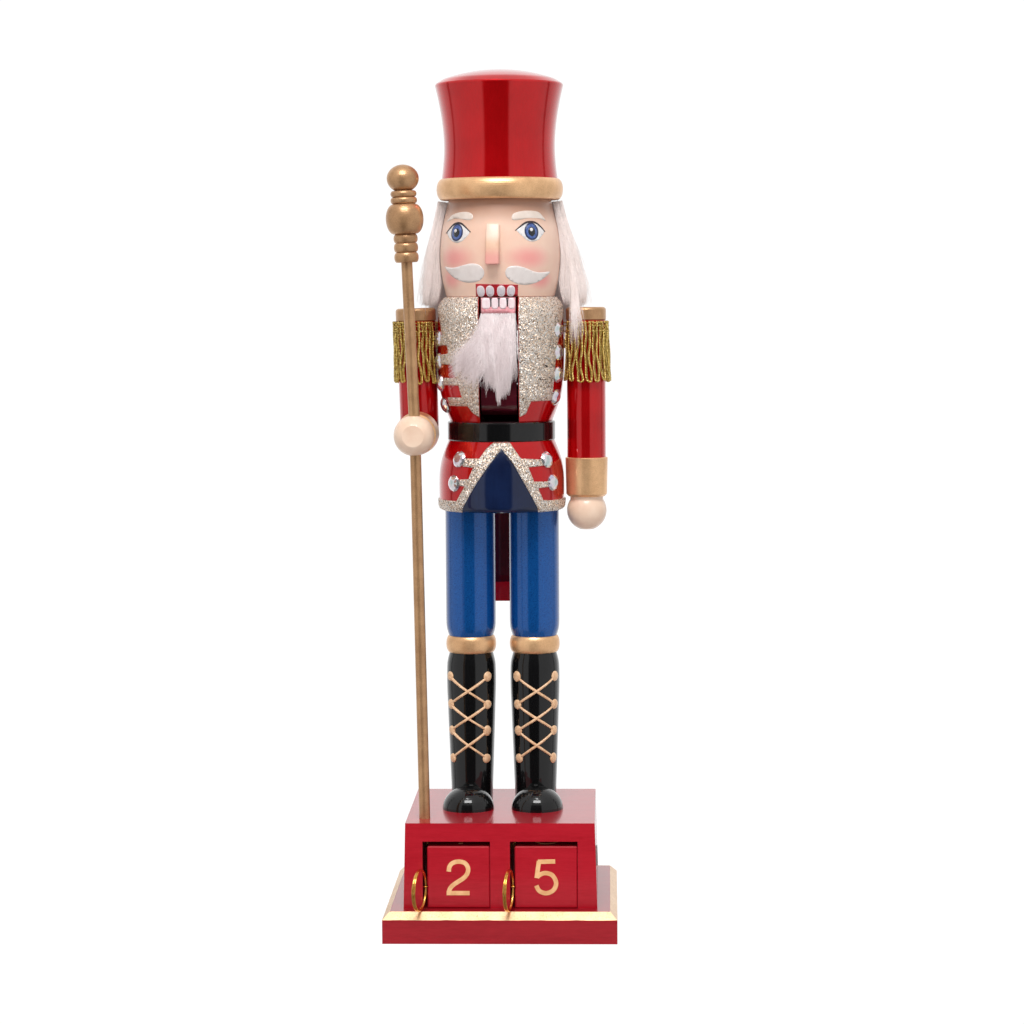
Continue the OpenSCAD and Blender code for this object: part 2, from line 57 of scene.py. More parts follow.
def linear(r, g, b):
    """Linear RGBA from screen values of 0 to 255."""
    def one(v):
        v /= 255
        return v / 12.92 if v <= 0.04045 else ((v + 0.055) / 1.055) ** 2.4
    return (one(r), one(g), one(b), 1.0)


MAT = {}


class Nodes:
    """A node tree, with short calls for the nodes used here. Colours are screen values of 0 to 255."""

    def __init__(self, tree):
        self.tree = tree

    def add(self, kind, **inputs):
        node = self.tree.nodes.new(kind)
        for key, value in inputs.items():
            self.feed(node.inputs[key.replace("_", " ")], value)
        return node

    def link(self, a, b):
        self.tree.links.new(a, b)

    def feed(self, socket, value):
        """Links an output to a socket, or sets the socket to a value."""
        if hasattr(value, "is_output"):
            self.link(value, socket)
        elif socket.type == "RGBA":
            socket.default_value = linear(*value)
        else:
            socket.default_value = value

    def math(self, operation, a, b=0.0):
        node = self.add("ShaderNodeMath")
        node.operation = operation
        for socket, value in zip(node.inputs, (a, b)):
            self.feed(socket, value)
        return node.outputs["Value"]

    def spread(self, value, low, high):
        """value from 0..1 mapped to low..high."""
        return self.add("ShaderNodeMapRange", Value=value, To_Min=low, To_Max=high).outputs["Result"]

    def between(self, value, start, end, low=0.0, high=1.0):
        """value from start..end mapped smoothly to low..high."""
        node = self.add("ShaderNodeMapRange", Value=value, From_Min=start, From_Max=end,
                        To_Min=low, To_Max=high)
        node.interpolation_type = "SMOOTHSTEP"
        return node.outputs["Result"]


class Shader(Nodes):
    """A node material under construction: a Principled BSDF fed by procedural nodes, listed in MAT."""

    def __init__(self, name, rough=0.4, metal=0.0, coat=0.0, coat_rough=0.05):
        self.mat = bpy.data.materials.new(name)
        self.mat.use_nodes = True
        super().__init__(self.mat.node_tree)
        self.bsdf = self.tree.nodes["Principled BSDF"]
        self.set("Roughness", rough)
        self.set("Metallic", metal)
        self.set("Coat Weight", coat)
        self.set("Coat Roughness", coat_rough)
        self.coords = self.add("ShaderNodeTexCoord").outputs["Object"]
        MAT[name] = self.mat

    def set(self, key, value):
        self.feed(self.bsdf.inputs[key], value)

    def base_colour(self):
        """The output that feeds the base colour so far."""
        return self.bsdf.inputs["Base Color"].links[0].from_socket

    def stretched(self, sx, sy, sz):
        return self.add("ShaderNodeMapping", Vector=self.coords, Scale=(sx, sy, sz)).outputs["Vector"]

    def noise(self, scale, detail=3, rough=0.55, vector=None):
        return self.add("ShaderNodeTexNoise", Scale=scale, Detail=detail, Roughness=rough,
                        Vector=vector or self.coords).outputs["Fac"]

    def grains(self, scale):
        """Small cells: a random colour for each, and the same as grey."""
        colour = self.add("ShaderNodeTexVoronoi", Scale=scale, Vector=self.coords).outputs["Color"]
        return colour, self.add("ShaderNodeRGBToBW", Color=colour).outputs["Val"]

    def ramp(self, value, stops):
        node = self.add("ShaderNodeValToRGB", Fac=value)
        elements = node.color_ramp.elements
        while len(elements) < len(stops):
            elements.new(0.5)
        for element, (place, colour) in zip(elements, stops):
            element.position = place
            element.color = linear(*colour)
        return node.outputs["Color"]

    def mix(self, factor, a, b):
        node = self.add("ShaderNodeMix")
        node.data_type = "RGBA"
        for slot, value in (("Factor", factor), ("A", a), ("B", b)):
            self.feed(next(s for s in node.inputs if s.name == slot and s.enabled), value)
        return next(s for s in node.outputs if s.enabled)

    def vector(self, operation, a, b=(0, 0, 0)):
        """Vector sum or the like; for SCALE, b is a number."""
        node = self.add("ShaderNodeVectorMath")
        node.operation = operation
        self.feed(node.inputs[0], a)
        self.feed(node.inputs["Scale" if operation == "SCALE" else 1], b)
        return next(s for s in node.outputs if s.enabled)

    def axis(self, name):
        return self.add("ShaderNodeSeparateXYZ", Vector=self.coords).outputs[name]

    def bump(self, height, strength, distance_mm):
        normal = self.add("ShaderNodeBump", Strength=strength, Distance=distance_mm * MM,
                          Height=height).outputs["Normal"]
        self.set("Normal", normal)
        self.set("Coat Normal", normal)


def lacquer(name, light, dark, rough=0.32, coat=1.0, coat_rough=0.045, grain=0.25, peel=0.12, metal=0.0):
    """Gloss paint over turned wood: faint upright grain, orange peel and uneven gloss."""
    s = Shader(name, rough=rough, coat=coat, metal=metal)
    streaks = s.noise(900, 4, 0.6, s.stretched(1, 1, 0.07))
    cloud = s.noise(55, 3)
    tone = s.math("ADD", s.math("MULTIPLY", streaks, grain), s.math("MULTIPLY", cloud, 1 - grain))
    s.set("Base Color", s.ramp(tone, [(0.36, dark), (0.62, light)]))
    s.set("Specular IOR Level", 0.08)
    s.set("Coat Roughness", s.spread(cloud, coat_rough * 0.6, coat_rough * 1.6))
    skin = s.math("ADD", s.noise(700, 2), s.math("MULTIPLY", s.noise(90, 2), 3.0))
    s.bump(skin, peel, 0.03)
    return s


def board_lacquer(name, light, dark, axis_scale):
    """Red stain over fibreboard with a fine veneer grain running across it."""
    s = Shader(name, rough=0.3, coat=0.85, coat_rough=0.1)
    s.set("Specular IOR Level", 0.15)
    fine = s.noise(1500, 5, 0.65, s.stretched(*axis_scale))
    broad = s.noise(120, 3, 0.5, s.stretched(*axis_scale))
    tone = s.math("ADD", s.math("MULTIPLY", fine, 0.55), s.math("MULTIPLY", broad, 0.45))
    s.set("Base Color", s.ramp(tone, [(0.38, dark), (0.6, light)]))
    s.set("Roughness", s.spread(fine, 0.24, 0.42))
    s.bump(fine, 0.25, 0.03)


def gold_paint(name, light, dark, rough=0.34):
    """Satin metallic paint: fine flake and soft brush marks."""
    s = Shader(name, rough=rough, metal=0.62, coat=0.25, coat_rough=0.2)
    flake = s.grains(4200)[1]
    tone = s.math("ADD", s.math("MULTIPLY", flake, 0.28), s.math("MULTIPLY", s.noise(130, 3), 0.72))
    s.set("Base Color", s.ramp(tone, [(0.3, dark), (0.66, light)]))
    s.set("Roughness", s.spread(flake, rough - 0.05, rough + 0.09))
    s.bump(s.noise(2600, 2), 0.18, 0.02)


def pearl_paint(name, light, dark, grazing_shade):
    """Metallic blue under clear gloss, with painted shade: it turns deep blue where the surface turns away from
    the viewer.
    """
    s = Shader(name, rough=0.3, metal=0.5, coat=1.0, coat_rough=0.03)
    s.set("Specular IOR Level", 0.08)
    facing = s.add("ShaderNodeLayerWeight", Blend=0.42).outputs["Facing"]
    flake = s.grains(3600)[1]
    # Painted shade: the flaked blue is mixed towards the deep blue at the edges seen by the viewer.
    s.set("Base Color", s.mix(s.between(facing, 0.35, 0.95), s.mix(flake, dark, light), grazing_shade))
    s.set("Roughness", s.spread(flake, 0.24, 0.42))
    s.bump(s.noise(1200, 2, 0.5, s.stretched(1, 1, 0.25)), 0.12, 0.02)


def glitter(name):
    """Champagne glitter: every flake has its own tint and its own tilt."""
    s = Shader(name, rough=0.22, metal=0.62)
    tint, grey = s.grains(3100)
    s.set("Base Color", s.ramp(grey, [
        (0.2, (104, 80, 62)), (0.31, (220, 190, 164)), (0.48, (244, 220, 198)), (0.6, (252, 240, 228)),
        (0.74, (255, 254, 252))]))
    s.set("Roughness", s.spread(grey, 0.2, 0.5))
    tilt = s.vector("SCALE", s.vector("SUBTRACT", tint, (0.5, 0.5, 0.5)), 1.25)
    upright = s.add("ShaderNodeNewGeometry").outputs["Normal"]
    tilted = s.vector("NORMALIZE", s.vector("ADD", upright, tilt))
    fine = s.add("ShaderNodeTexVoronoi", Scale=6500, Vector=s.coords).outputs["Distance"]
    s.set("Normal", s.add("ShaderNodeBump", Strength=0.5, Distance=0.05 * MM, Height=fine,
                          Normal=tilted).outputs["Normal"])


def flat_paint(name, light, dark, rough=0.42, scale=260, coat=0.25):
    """Brushed-on detail paint with slight tone changes."""
    s = Shader(name, rough=rough, coat=coat, coat_rough=0.15)
    tone = s.noise(scale, 4)
    s.set("Base Color", s.ramp(tone, [(0.36, dark), (0.64, light)]))
    s.set("Roughness", s.spread(tone, rough - 0.06, rough + 0.1))
    s.bump(s.noise(scale * 5, 2), 0.15, 0.02)


def fur(name, light, shade, glow, painted_front_glow, clear_shadow):
    """Soft white pile that lets some light through. It glows a little everywhere and more where it faces the
    viewer: painted light standing in for front light.
    """
    s = Shader(name, rough=0.62)
    tone = s.noise(420, 3, 0.6, s.stretched(1, 1, 0.2))
    s.set("Base Color", s.ramp(tone, [(0.34, shade), (0.62, light)]))
    s.set("Specular IOR Level", 0.25)
    s.set("Sheen Weight", 0.35)
    s.set("Sheen Roughness", 0.4)
    # Painted light: emission in the fur's own colour, weak at the back and stronger at the front.
    s.set("Emission Color", light)
    front = s.between(s.axis("Y"), 14 * MM, 4 * MM)
    s.set("Emission Strength", s.spread(front, glow, painted_front_glow))
    clear = s.add("ShaderNodeBsdfTranslucent", Color=light)
    pile = s.add("ShaderNodeMixShader", Fac=0.48)
    s.link(s.bsdf.outputs["BSDF"], pile.inputs[1])
    s.link(clear.outputs["BSDF"], pile.inputs[2])
    shadow = s.add("ShaderNodeLightPath").outputs["Is Shadow Ray"]
    thin = s.add("ShaderNodeMixShader", Fac=s.math("MULTIPLY", shadow, clear_shadow))
    s.link(pile.outputs["Shader"], thin.inputs[1])
    s.link(s.add("ShaderNodeBsdfTransparent").outputs["BSDF"], thin.inputs[2])
    s.link(thin.outputs["Shader"], s.tree.nodes["Material Output"].inputs["Surface"])


def metal(name, light, dark, rough):
    """Bare metal with a slightly worn polish."""
    s = Shader(name, rough=rough, metal=1.0)
    tone = s.noise(700, 3)
    s.set("Base Color", s.ramp(tone, [(0.35, dark), (0.65, light)]))
    s.set("Roughness", s.spread(tone, rough * 0.7, rough * 1.5))
    s.bump(s.noise(2500, 2), 0.08, 0.02)


def lever_stain_lit_foot(name, light, dark, lit_foot_red, lit_foot_top):
    """Dark red stain on the lever. The foot of its tail is coat red as painted light, lit where the tail above
    lies in the shade of the legs and skirt.
    """
    s = lacquer(name, light, dark)
    # Painted light: below a ragged line the tail's foot turns coat red.
    ragged = s.math("ADD", s.axis("Z"), s.math("MULTIPLY", s.noise(300, 2), 1.2 * MM))
    lit_foot = s.between(ragged, (lit_foot_top + 1.1) * MM, (lit_foot_top + 0.3) * MM)
    s.set("Base Color", s.mix(lit_foot, s.base_colour(), lit_foot_red))


def coat_lacquer(name, light, dark, half_slot, roof, mouth_y):
    """Coat paint. Inside the slot that the lever works in, the walls are left bare and without gloss, and they
    are coloured near-black red as painted shade.
    """
    s = lacquer(name, light, dark, rough=0.16, metal=0.5)
    across = s.math("LESS_THAN", s.math("ABSOLUTE", s.axis("X")), half_slot * MM)
    low = s.math("LESS_THAN", s.axis("Z"), roof * MM)
    front = s.math("LESS_THAN", s.axis("Y"), mouth_y * MM)
    inside = s.math("MULTIPLY", across, s.math("MAXIMUM", low, front))
    # Painted shade: the inside of the slot is coloured near-black red, where it lies in shadow.
    slot_shade = s.ramp(s.noise(400, 3), [(0.35, (52, 6, 12)), (0.65, (70, 10, 18))])
    s.set("Base Color", s.mix(inside, s.base_colour(), slot_shade))
    s.set("Coat Weight", s.spread(inside, 1.0, 0.0))
    s.set("Metallic", s.spread(inside, 0.5, 0.0))
    s.set("Specular IOR Level", s.spread(inside, 0.08, 0.0))
    s.set("Roughness", s.spread(inside, 0.16, 0.9))


RED_LIGHT = (204, 8, 16)
RED_DARK = (186, 4, 10)
lacquer("coat_red", RED_LIGHT, RED_DARK, rough=0.16, metal=0.5)
coat_lacquer("torso_red", RED_LIGHT, RED_DARK, 8.55, 262.2, -9)
lacquer("sleeve_red", (202, 8, 16), (182, 4, 10), rough=0.2, metal=0.5)
# The lever's tail foot is painted lighter red as painted light.
lever_stain_lit_foot("lever_maroon", (78, 15, 28), (50, 9, 18), (176, 16, 34), 147)
board_lacquer("base_red", (178, 24, 40), (164, 16, 32), (0.12, 1, 1))
# Painted shade: the foot board gets a darker copy of the box's red, to offset the extra light its front takes.
board_lacquer("board_red_painted_shade", (156, 22, 34), (142, 15, 28), (0.12, 1, 1))
lacquer("black_gloss", (13, 13, 14), (7, 7, 8), coat_rough=0.03)
# The last colour is the painted shade at the trousers' edges.
pearl_paint("blue_pearl", (20, 99, 178), (6, 68, 140), (5, 30, 92))
lacquer("navy", (16, 32, 68), (9, 21, 52), coat_rough=0.06)
# Painted light: a lighter copy of the staff gold, for the hat band, cuffs and knee beads.
gold_paint("gold_painted_light", (255, 206, 154), (222, 172, 124))
gold_paint("staff_gold", (208, 163, 118), (174, 130, 91))
glitter("glitter")
flat_paint("bare_wood", (222, 186, 140), (196, 156, 110), 0.7, 120, 0)
flat_paint("hand_wood", (242, 212, 188), (232, 196, 170), 0.4, 90, 0.5)
metal("steel", (200, 200, 204), (150, 150, 156), 0.3)
metal("brass", (255, 204, 112), (232, 168, 76), 0.16)
flat_paint("lace_gold", (240, 200, 160), (216, 168, 126), 0.38, 500, 0.4)
flat_paint("number_gold", (240, 190, 136), (222, 164, 108), 0.36, 300, 0.4)
# Both furs glow a little as painted light; the head fur glows more towards the front.
fur("white_fur", (248, 242, 240), (232, 223, 219), 0.05, 0.14, 0.83)
fur("beard_fur", (249, 243, 243), (231, 221, 221), 0.08, 0.08, 0.78)


# ---------------------------------------------------------------- mesh tools

def give(obj, material):
    obj.data.materials.clear()
    obj.data.materials.append(material)
    return obj


def new_piece(name, mesh, material, body, smooth=True):
    obj = bpy.data.objects.new(name, mesh)
    bpy.context.scene.collection.objects.link(obj)
    give(obj, MAT[material])
    if smooth:
        mesh.shade_smooth()
    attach(obj, body)
    return obj


def bmesh_piece(bm, name, material, body, smooth=True):
    """Piece from a bmesh, its faces turned outwards."""
    bmesh.ops.recalc_face_normals(bm, faces=bm.faces[:])
    mesh = bpy.data.meshes.new(name)
    bm.to_mesh(mesh)
    bm.free()
    return new_piece(name, mesh, material, body, smooth)


def mesh_from(name, points, faces):
    mesh = bpy.data.meshes.new(name)
    mesh.from_pydata([tuple(p) for p in points], [], faces)
    mesh.validate()
    return mesh


class Turned:
    """The outer surface of a barrel-shaped CAD node, as radius against height, about its own axis."""

    def __init__(self, node):
        co = np.array([v.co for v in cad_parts[node].data.vertices], float) / MM
        lo, hi = co.min(0), co.max(0)
        self.cx, self.cy = (lo[0] + hi[0]) / 2, (lo[1] + hi[1]) / 2
        r = np.hypot(co[:, 0] - self.cx, co[:, 1] - self.cy)
        rings = {}
        for z, radius in zip(np.round(co[:, 2], 2), r):
            rings[z] = max(rings.get(z, 0), radius)
        hull = []
        for z in sorted(rings):
            while len(hull) > 1 and ((hull[-1][1] - hull[-2][1]) * (z - hull[-2][0])
                                     <= (rings[z] - hull[-2][1]) * (hull[-1][0] - hull[-2][0])):
                hull.pop()
            hull.append((z, rings[z]))
        self.z, self.r = np.array(hull).T
        self.mean = float(self.r.mean())

    def radius(self, z):
        return float(np.interp(z, self.z, self.r))

    def slope(self, z, span=1.0):
        return (self.radius(z + span) - self.radius(z - span)) / (2 * span)

    def normal(self, degrees, z):
        a = math.radians(degrees)
        return Vector((math.sin(a), -math.cos(a), -self.slope(z))).normalized()

    def point(self, degrees, z, lift=0.0):
        """Point on the surface, lifted off it by so many millimetres; in metres."""
        a = math.radians(degrees)
        r = self.radius(z)
        base = Vector((self.cx + r * math.sin(a), self.cy - r * math.cos(a), z))
        return (base + self.normal(degrees, z) * lift) * MM

    def flat(self, degrees, z):
        return (math.radians(degrees) * self.mean, z)

    def unflat(self, u, z, lift):
        return self.point(math.degrees(u / self.mean), z, lift)


class Front:
    """An upright flat face looking along -Y: across is X, up is Z."""

    def __init__(self, y):
        self.y = y

    def flat(self, x, z):
        return (x, z)

    def unflat(self, x, z, lift):
        return Vector((x, self.y - lift, z)) * MM


def decal_mesh(bm, surface, outline, lift, thick, cell, rough=0.0):
    """Adds a raised patch of paint that follows the surface: a cut grid with closed edges."""
    flat = [surface.flat(*p) for p in outline]
    patch = bmesh.new()
    patch.faces.new([patch.verts.new((u, z, 0)) for u, z in flat])
    bmesh.ops.triangulate(patch, faces=patch.faces[:])
    us = [p[0] for p in flat]
    zs = [p[1] for p in flat]
    for lo, hi, normal in ((min(us), max(us), (1, 0, 0)), (min(zs), max(zs), (0, 1, 0))):
        for k in range(1, int((hi - lo) / cell) + 1):
            at = (lo + k * cell) if normal[0] else 0, 0 if normal[0] else (lo + k * cell), 0
            geometry = patch.verts[:] + patch.edges[:] + patch.faces[:]
            bmesh.ops.bisect_plane(patch, geom=geometry, plane_co=at, plane_no=normal, dist=1e-4)
    bmesh.ops.remove_doubles(patch, verts=patch.verts[:], dist=0.01)
    patch.normal_update()
    top, edge = {}, {}
    for v in patch.verts:
        u, z = v.co.x, v.co.y
        border = v.is_boundary
        height = thick * (0.45 if border else 1.0)
        if rough and not border:
            height += rough * rng.uniform(-1, 1)
        top[v.index] = bm.verts.new(surface.unflat(u, z, lift + height))
        if border:
            edge[v.index] = bm.verts.new(surface.unflat(u, z, lift - 0.12))
    for f in patch.faces:
        loop = [top[v.index] for v in f.verts]
        bm.faces.new(loop if f.normal.z > 0 else loop[::-1])
    for e in patch.edges:
        if e.is_boundary:
            f = e.link_faces[0]
            a, b = e.verts
            order = [v.index for v in f.verts]
            i = order.index(a.index)
            if order[(i + 1) % len(order)] != b.index:
                a, b = b, a
            if f.normal.z < 0:
                a, b = b, a
            bm.faces.new([top[b.index], top[a.index], edge[a.index], edge[b.index]])
    patch.free()


def paint(name, surface, outlines, material, body, lift=0.04, thick=0.06, cell=1.0, rough=0.0):
    """One piece made of raised paint patches on a surface."""
    bm = bmesh.new()
    for outline in outlines:
        decal_mesh(bm, surface, outline, lift, thick, cell, rough)
    return bmesh_piece(bm, name, material, body)


def ellipse(u, z, half_u, half_z, n=36, power=1.0):
    points = []
    for k in range(n):
        a = 2 * math.pi * k / n
        c, s = math.cos(a), math.sin(a)
        points.append((u + half_u * math.copysign(abs(c) ** power, c),
                       z + half_z * math.copysign(abs(s) ** power, s)))
    return points


def curved(points, steps=5, closed=True):
    """Smooth curve through a few points."""
    p = [Vector((a, b)) for a, b in points]
    n = len(p)
    result = []
    for i in range(n if closed else n - 1):
        a = p[(i - 1) % n] if closed or i else p[i]
        b, c = p[i], p[(i + 1) % n]
        d = p[(i + 2) % n] if closed or i + 2 < n else c
        for k in range(steps):
            t = k / steps
            v = 0.5 * (2 * b + (c - a) * t + (2 * a - 5 * b + 4 * c - d) * t ** 2
                       + (3 * b - a - 3 * c + d) * t ** 3)
            result.append((v.x, v.y))
    if not closed:
        result.append((p[-1].x, p[-1].y))
    return result


def brush_line(points, width_z, steps=5, mean=26.0):
    """Outline of a painted line, thick in the middle and thin at its ends. Points are angle and height."""
    line = curved(points, steps, closed=False)
    scale = math.radians(1) * mean
    upper, lower = [], []
    for i, (a, z) in enumerate(line):
        j, k = max(i - 1, 0), min(i + 1, len(line) - 1)
        du, dz = (line[k][0] - line[j][0]) * scale, line[k][1] - line[j][1]
        length = math.hypot(du, dz) or 1
        t = i / (len(line) - 1)
        half = width_z / 2 * (0.3 + 0.7 * math.sin(math.pi * t) ** 0.7)
        upper.append((a - dz / length * half / scale, z + du / length * half))
        lower.append((a + dz / length * half / scale, z - du / length * half))
    return upper + lower[::-1]


def tubes(name, paths, radii, sides=3, phase=0.0):
    """Mesh of many tapered strands. paths is (strand, step, 3) in millimetres, radii is (strand, step)."""
    paths = np.asarray(paths, float)
    radii = np.asarray(radii, float)
    n, m = paths.shape[:2]
    tangent = np.gradient(paths, axis=1)
    tangent /= np.linalg.norm(tangent, axis=2, keepdims=True) + 1e-9
    helper = np.zeros_like(tangent)
    helper[..., 0] = 0.31
    helper[..., 1] = 0.87
    helper[..., 2] = 0.38
    side = np.cross(tangent, helper)
    side /= np.linalg.norm(side, axis=2, keepdims=True) + 1e-9
    other = np.cross(tangent, side)
    angle = 2 * math.pi * (np.arange(sides) + phase) / sides
    ring = (side[:, :, None, :] * np.cos(angle)[None, None, :, None]
            + other[:, :, None, :] * np.sin(angle)[None, None, :, None])
    points = paths[:, :, None, :] + ring * radii[:, :, None, None]
    points = points.reshape(-1, 3) * MM
    base = (np.arange(n) * m * sides)[:, None, None] + (np.arange(m - 1) * sides)[None, :, None]
    k = np.arange(sides)[None, None, :]
    a = base + k
    b = base + (k + 1) % sides
    quads = np.stack([a, b, b + sides, a + sides], -1).reshape(-1, 4)
    first = np.arange(n)[:, None] * m * sides + np.arange(sides)[None, ::-1]
    last = np.arange(n)[:, None] * m * sides + (m - 1) * sides + np.arange(sides)[None, :]
    mesh = bpy.data.meshes.new(name)
    mesh.from_pydata(points.tolist(), [], quads.tolist() + first.tolist() + last.tolist())
    return mesh


# ---------------------------------------------------------------- CAD nodes

CAD_LOOKS = {
    "coat_red": ["coat_skirt", "hat_crown"],
    "torso_red": ["torso"],
    "sleeve_red": ["left_upper_arm", "left_forearm", "right_arm"],
    "lever_maroon": ["jaw_lever"],
    "base_red": ["number_box", "left_block", "right_block"],
    "board_red_painted_shade": ["plinth"],
    "black_gloss": ["left_boot", "right_boot", "left_toe_cap", "right_toe_cap", "waist_belt"],
    "blue_pearl": ["left_trouser", "right_trouser"],
    "gold_painted_light": ["left_knee_bead", "right_knee_bead", "hat_band", "left_cuff", "right_cuff"],
    "staff_gold": ["lower_staff", "upper_staff", "staff_finial", "left_shoulder_cap", "right_shoulder_cap"],
    "bare_wood": ["leg_dowels", "waist_dowels", "neck_dowel", "hat_dowel", "shoulder_dowels", "wrist_dowels"],
    "hand_wood": ["left_hand", "right_hand"],
    "steel": ["box_screws", "lever_pin"],
    "brass": ["left_screw_eye", "right_screw_eye", "left_pull_ring", "right_pull_ring"],
}
for look, nodes in CAD_LOOKS.items():
    for node in nodes:
        give(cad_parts[node], MAT[look])

HEAD = Turned("head")
TORSO = Turned("torso")
SKIRT = Turned("coat_skirt")
BOOTS = {"left": Turned("left_boot"), "right": Turned("right_boot")}
AXIS_Y = HEAD.cy


# ---------------------------------------------------------------- stand

def stand_paint():
    """Gold line on the foot board's bevel, a little uneven along both edges."""
    lo, hi = (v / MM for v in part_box("plinth"))
    bevel, lift, steps = 3.1, 0.035, 40
    bm = bmesh.new()
    rings = []
    for inset, z in ((0, hi.z - bevel), (bevel, hi.z)):
        ring = []
        half = (hi.x - lo.x) / 2 - inset
        for q in range(4):
            turn = Matrix.Rotation(math.radians(90 * q), 3, "Z")
            for k in range(steps):
                t = -1 + 2 * k / steps
                wobble = 0.1 * math.sin(17 * t + q) + 0.05 * math.sin(41 * t)
                inward = -0.2 * wobble if inset else max(wobble, 0)
                rise = 0 if inset else inward
                place = Vector((half - inward + lift, half * t, z + rise + lift))
                ring.append(bm.verts.new(turn @ place * MM))
        rings.append(ring)
    for k in range(4 * steps):
        j = (k + 1) % (4 * steps)
        bm.faces.new([rings[0][k], rings[0][j], rings[1][j], rings[1][k]])
    mesh = bpy.data.meshes.new("plinth_gold_line")
    bm.to_mesh(mesh)
    bm.free()
    line = new_piece("plinth_gold_line", mesh, "gold_line", "figure", smooth=False)
    solid = line.modifiers.new("thickness", "SOLIDIFY")
    solid.thickness = 0.12 * MM
    solid.offset = -1


NUMERALS = {
    "0": [[(4.2 * math.cos(0.1745 * k), 6.9 * math.sin(0.1745 * k)) for k in range(37)]],
    "1": [[(-2.9, 3.5), (-1.0, 4.4), (0.3, 5.6), (0.7, 6.9)], [(0.7, 7.8), (0.7, -7.8)]],
    "2": [[(-4.25, 2.5), (-3.9, 4.6), (-2.6, 6.2), (0, 6.9), (2.8, 6.2), (4.1, 4.0), (3.8, 1.8), (2.4, -0.1),
           (0.1, -1.7), (-2.4, -3.4), (-3.8, -5.1), (-4.35, -6.9)], [(-5.25, -6.9), (4.7, -6.9)]],
    "3": [[(-4.1, 3.3), (-2.8, 6.0), (0.1, 6.9), (3.0, 5.8), (3.6, 3.6), (2.4, 1.2), (-0.6, 0.4)],
          [(-0.6, 0.4), (2.7, -0.3), (4.2, -3.2), (3.0, -6.0), (0, -6.9), (-3.0, -6.0), (-4.3, -3.4)]],
    "4": [[(4.8, -3.3), (-5.1, -3.3)], [(-4.6, -3.3), (1.9, 6.9)], [(1.9, 7.8), (1.9, -7.8)]],
    "5": [[(4.1, 6.9), (-3.4, 6.9)], [(-2.9, 7.2), (-4.1, -0.2)],
          [(-3.9, 0.2), (-2.3, 1.4), (-0.1, 1.9), (2.7, 0.9), (4.25, -2.3), (3.2, -5.4), (0.1, -6.9),
           (-3.0, -5.9), (-4.3, -3.5)]],
    "7": [[(-4.7, 6.9), (4.7, 6.9)], [(4.3, 6.6), (1.4, 2.4), (-0.9, -2.6), (-1.7, -7.8)]],
    "8": [[(3.3 * math.cos(0.1745 * k), 3.7 + 3.2 * math.sin(0.1745 * k)) for k in range(37)],
          [(4.2 * math.cos(0.1745 * k), -3.1 + 3.8 * math.sin(0.1745 * k)) for k in range(37)]],
}


def number_mesh(text):
    """Mesh of one numeral drawn with an even stroke, centred, lying in X and Y, in metres."""
    stroke = 0.95
    bm = bmesh.new()
    for level, line in enumerate(NUMERALS[text]):
        path = [Vector(p) for p in (curved(line, 6, closed=False) if 2 < len(line) < 37 else line)]
        sides = []
        for i, p in enumerate(path):
            along = (path[min(i + 1, len(path) - 1)] - path[max(i - 1, 0)]).normalized()
            across = Vector((-along.y, along.x)) * stroke
            edges = (p + across, p - across)
            sides.append([bm.verts.new(Vector((q.x, q.y, 0.012 * level)) * MM) for q in edges])
        for (a, b), (c, d) in zip(sides, sides[1:]):
            bm.faces.new([a, b, d, c])
    mesh = bpy.data.meshes.new("numeral")
    bm.to_mesh(mesh)
    bm.free()
    return mesh


def block_numbers(side, digits, tilt):
    """Numerals on the front, back, left, right, top and underside of a block."""
    lo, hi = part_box(side + "_block")
    centre = (lo + hi) / 2
    half = (hi.x - lo.x) / 2
    bm = bmesh.new()
    turns = [Matrix.Identity(3), Matrix.Rotation(math.pi, 3, "Z"), Matrix.Rotation(-math.pi / 2, 3, "Z"),
             Matrix.Rotation(math.pi / 2, 3, "Z"), Matrix.Rotation(-math.pi / 2, 3, "X"),
             Matrix.Rotation(math.pi / 2, 3, "X")]
    for digit, turn in zip(digits, turns):
        mesh = number_mesh(digit)
        part = bmesh.new()
        part.from_mesh(mesh)
        up = Matrix.Rotation(math.pi / 2, 3, "X") @ Matrix.Rotation(math.radians(tilt), 3, "Z")
        faces = part.faces[:]
        grown = bmesh.ops.extrude_face_region(part, geom=faces)
        top = [g for g in grown["geom"] if isinstance(g, bmesh.types.BMVert)]
        bmesh.ops.translate(part, verts=top, vec=(0, 0, 0.07 * MM))
        for v in part.verts:
            v.co = centre + turn @ (up @ v.co + Vector((0, -half - 0.01 * MM, 0)))
        part.to_mesh(mesh)
        part.free()
        bm.from_mesh(mesh)
    bmesh_piece(bm, side + "_block_numbers", "number_gold", side + "_number", smooth=False)


gold_paint("gold_line", (242, 204, 160), (222, 178, 130), 0.3)
stand_paint()
block_numbers("left", "201012", 0.0)
block_numbers("right", "507384", 1.2)


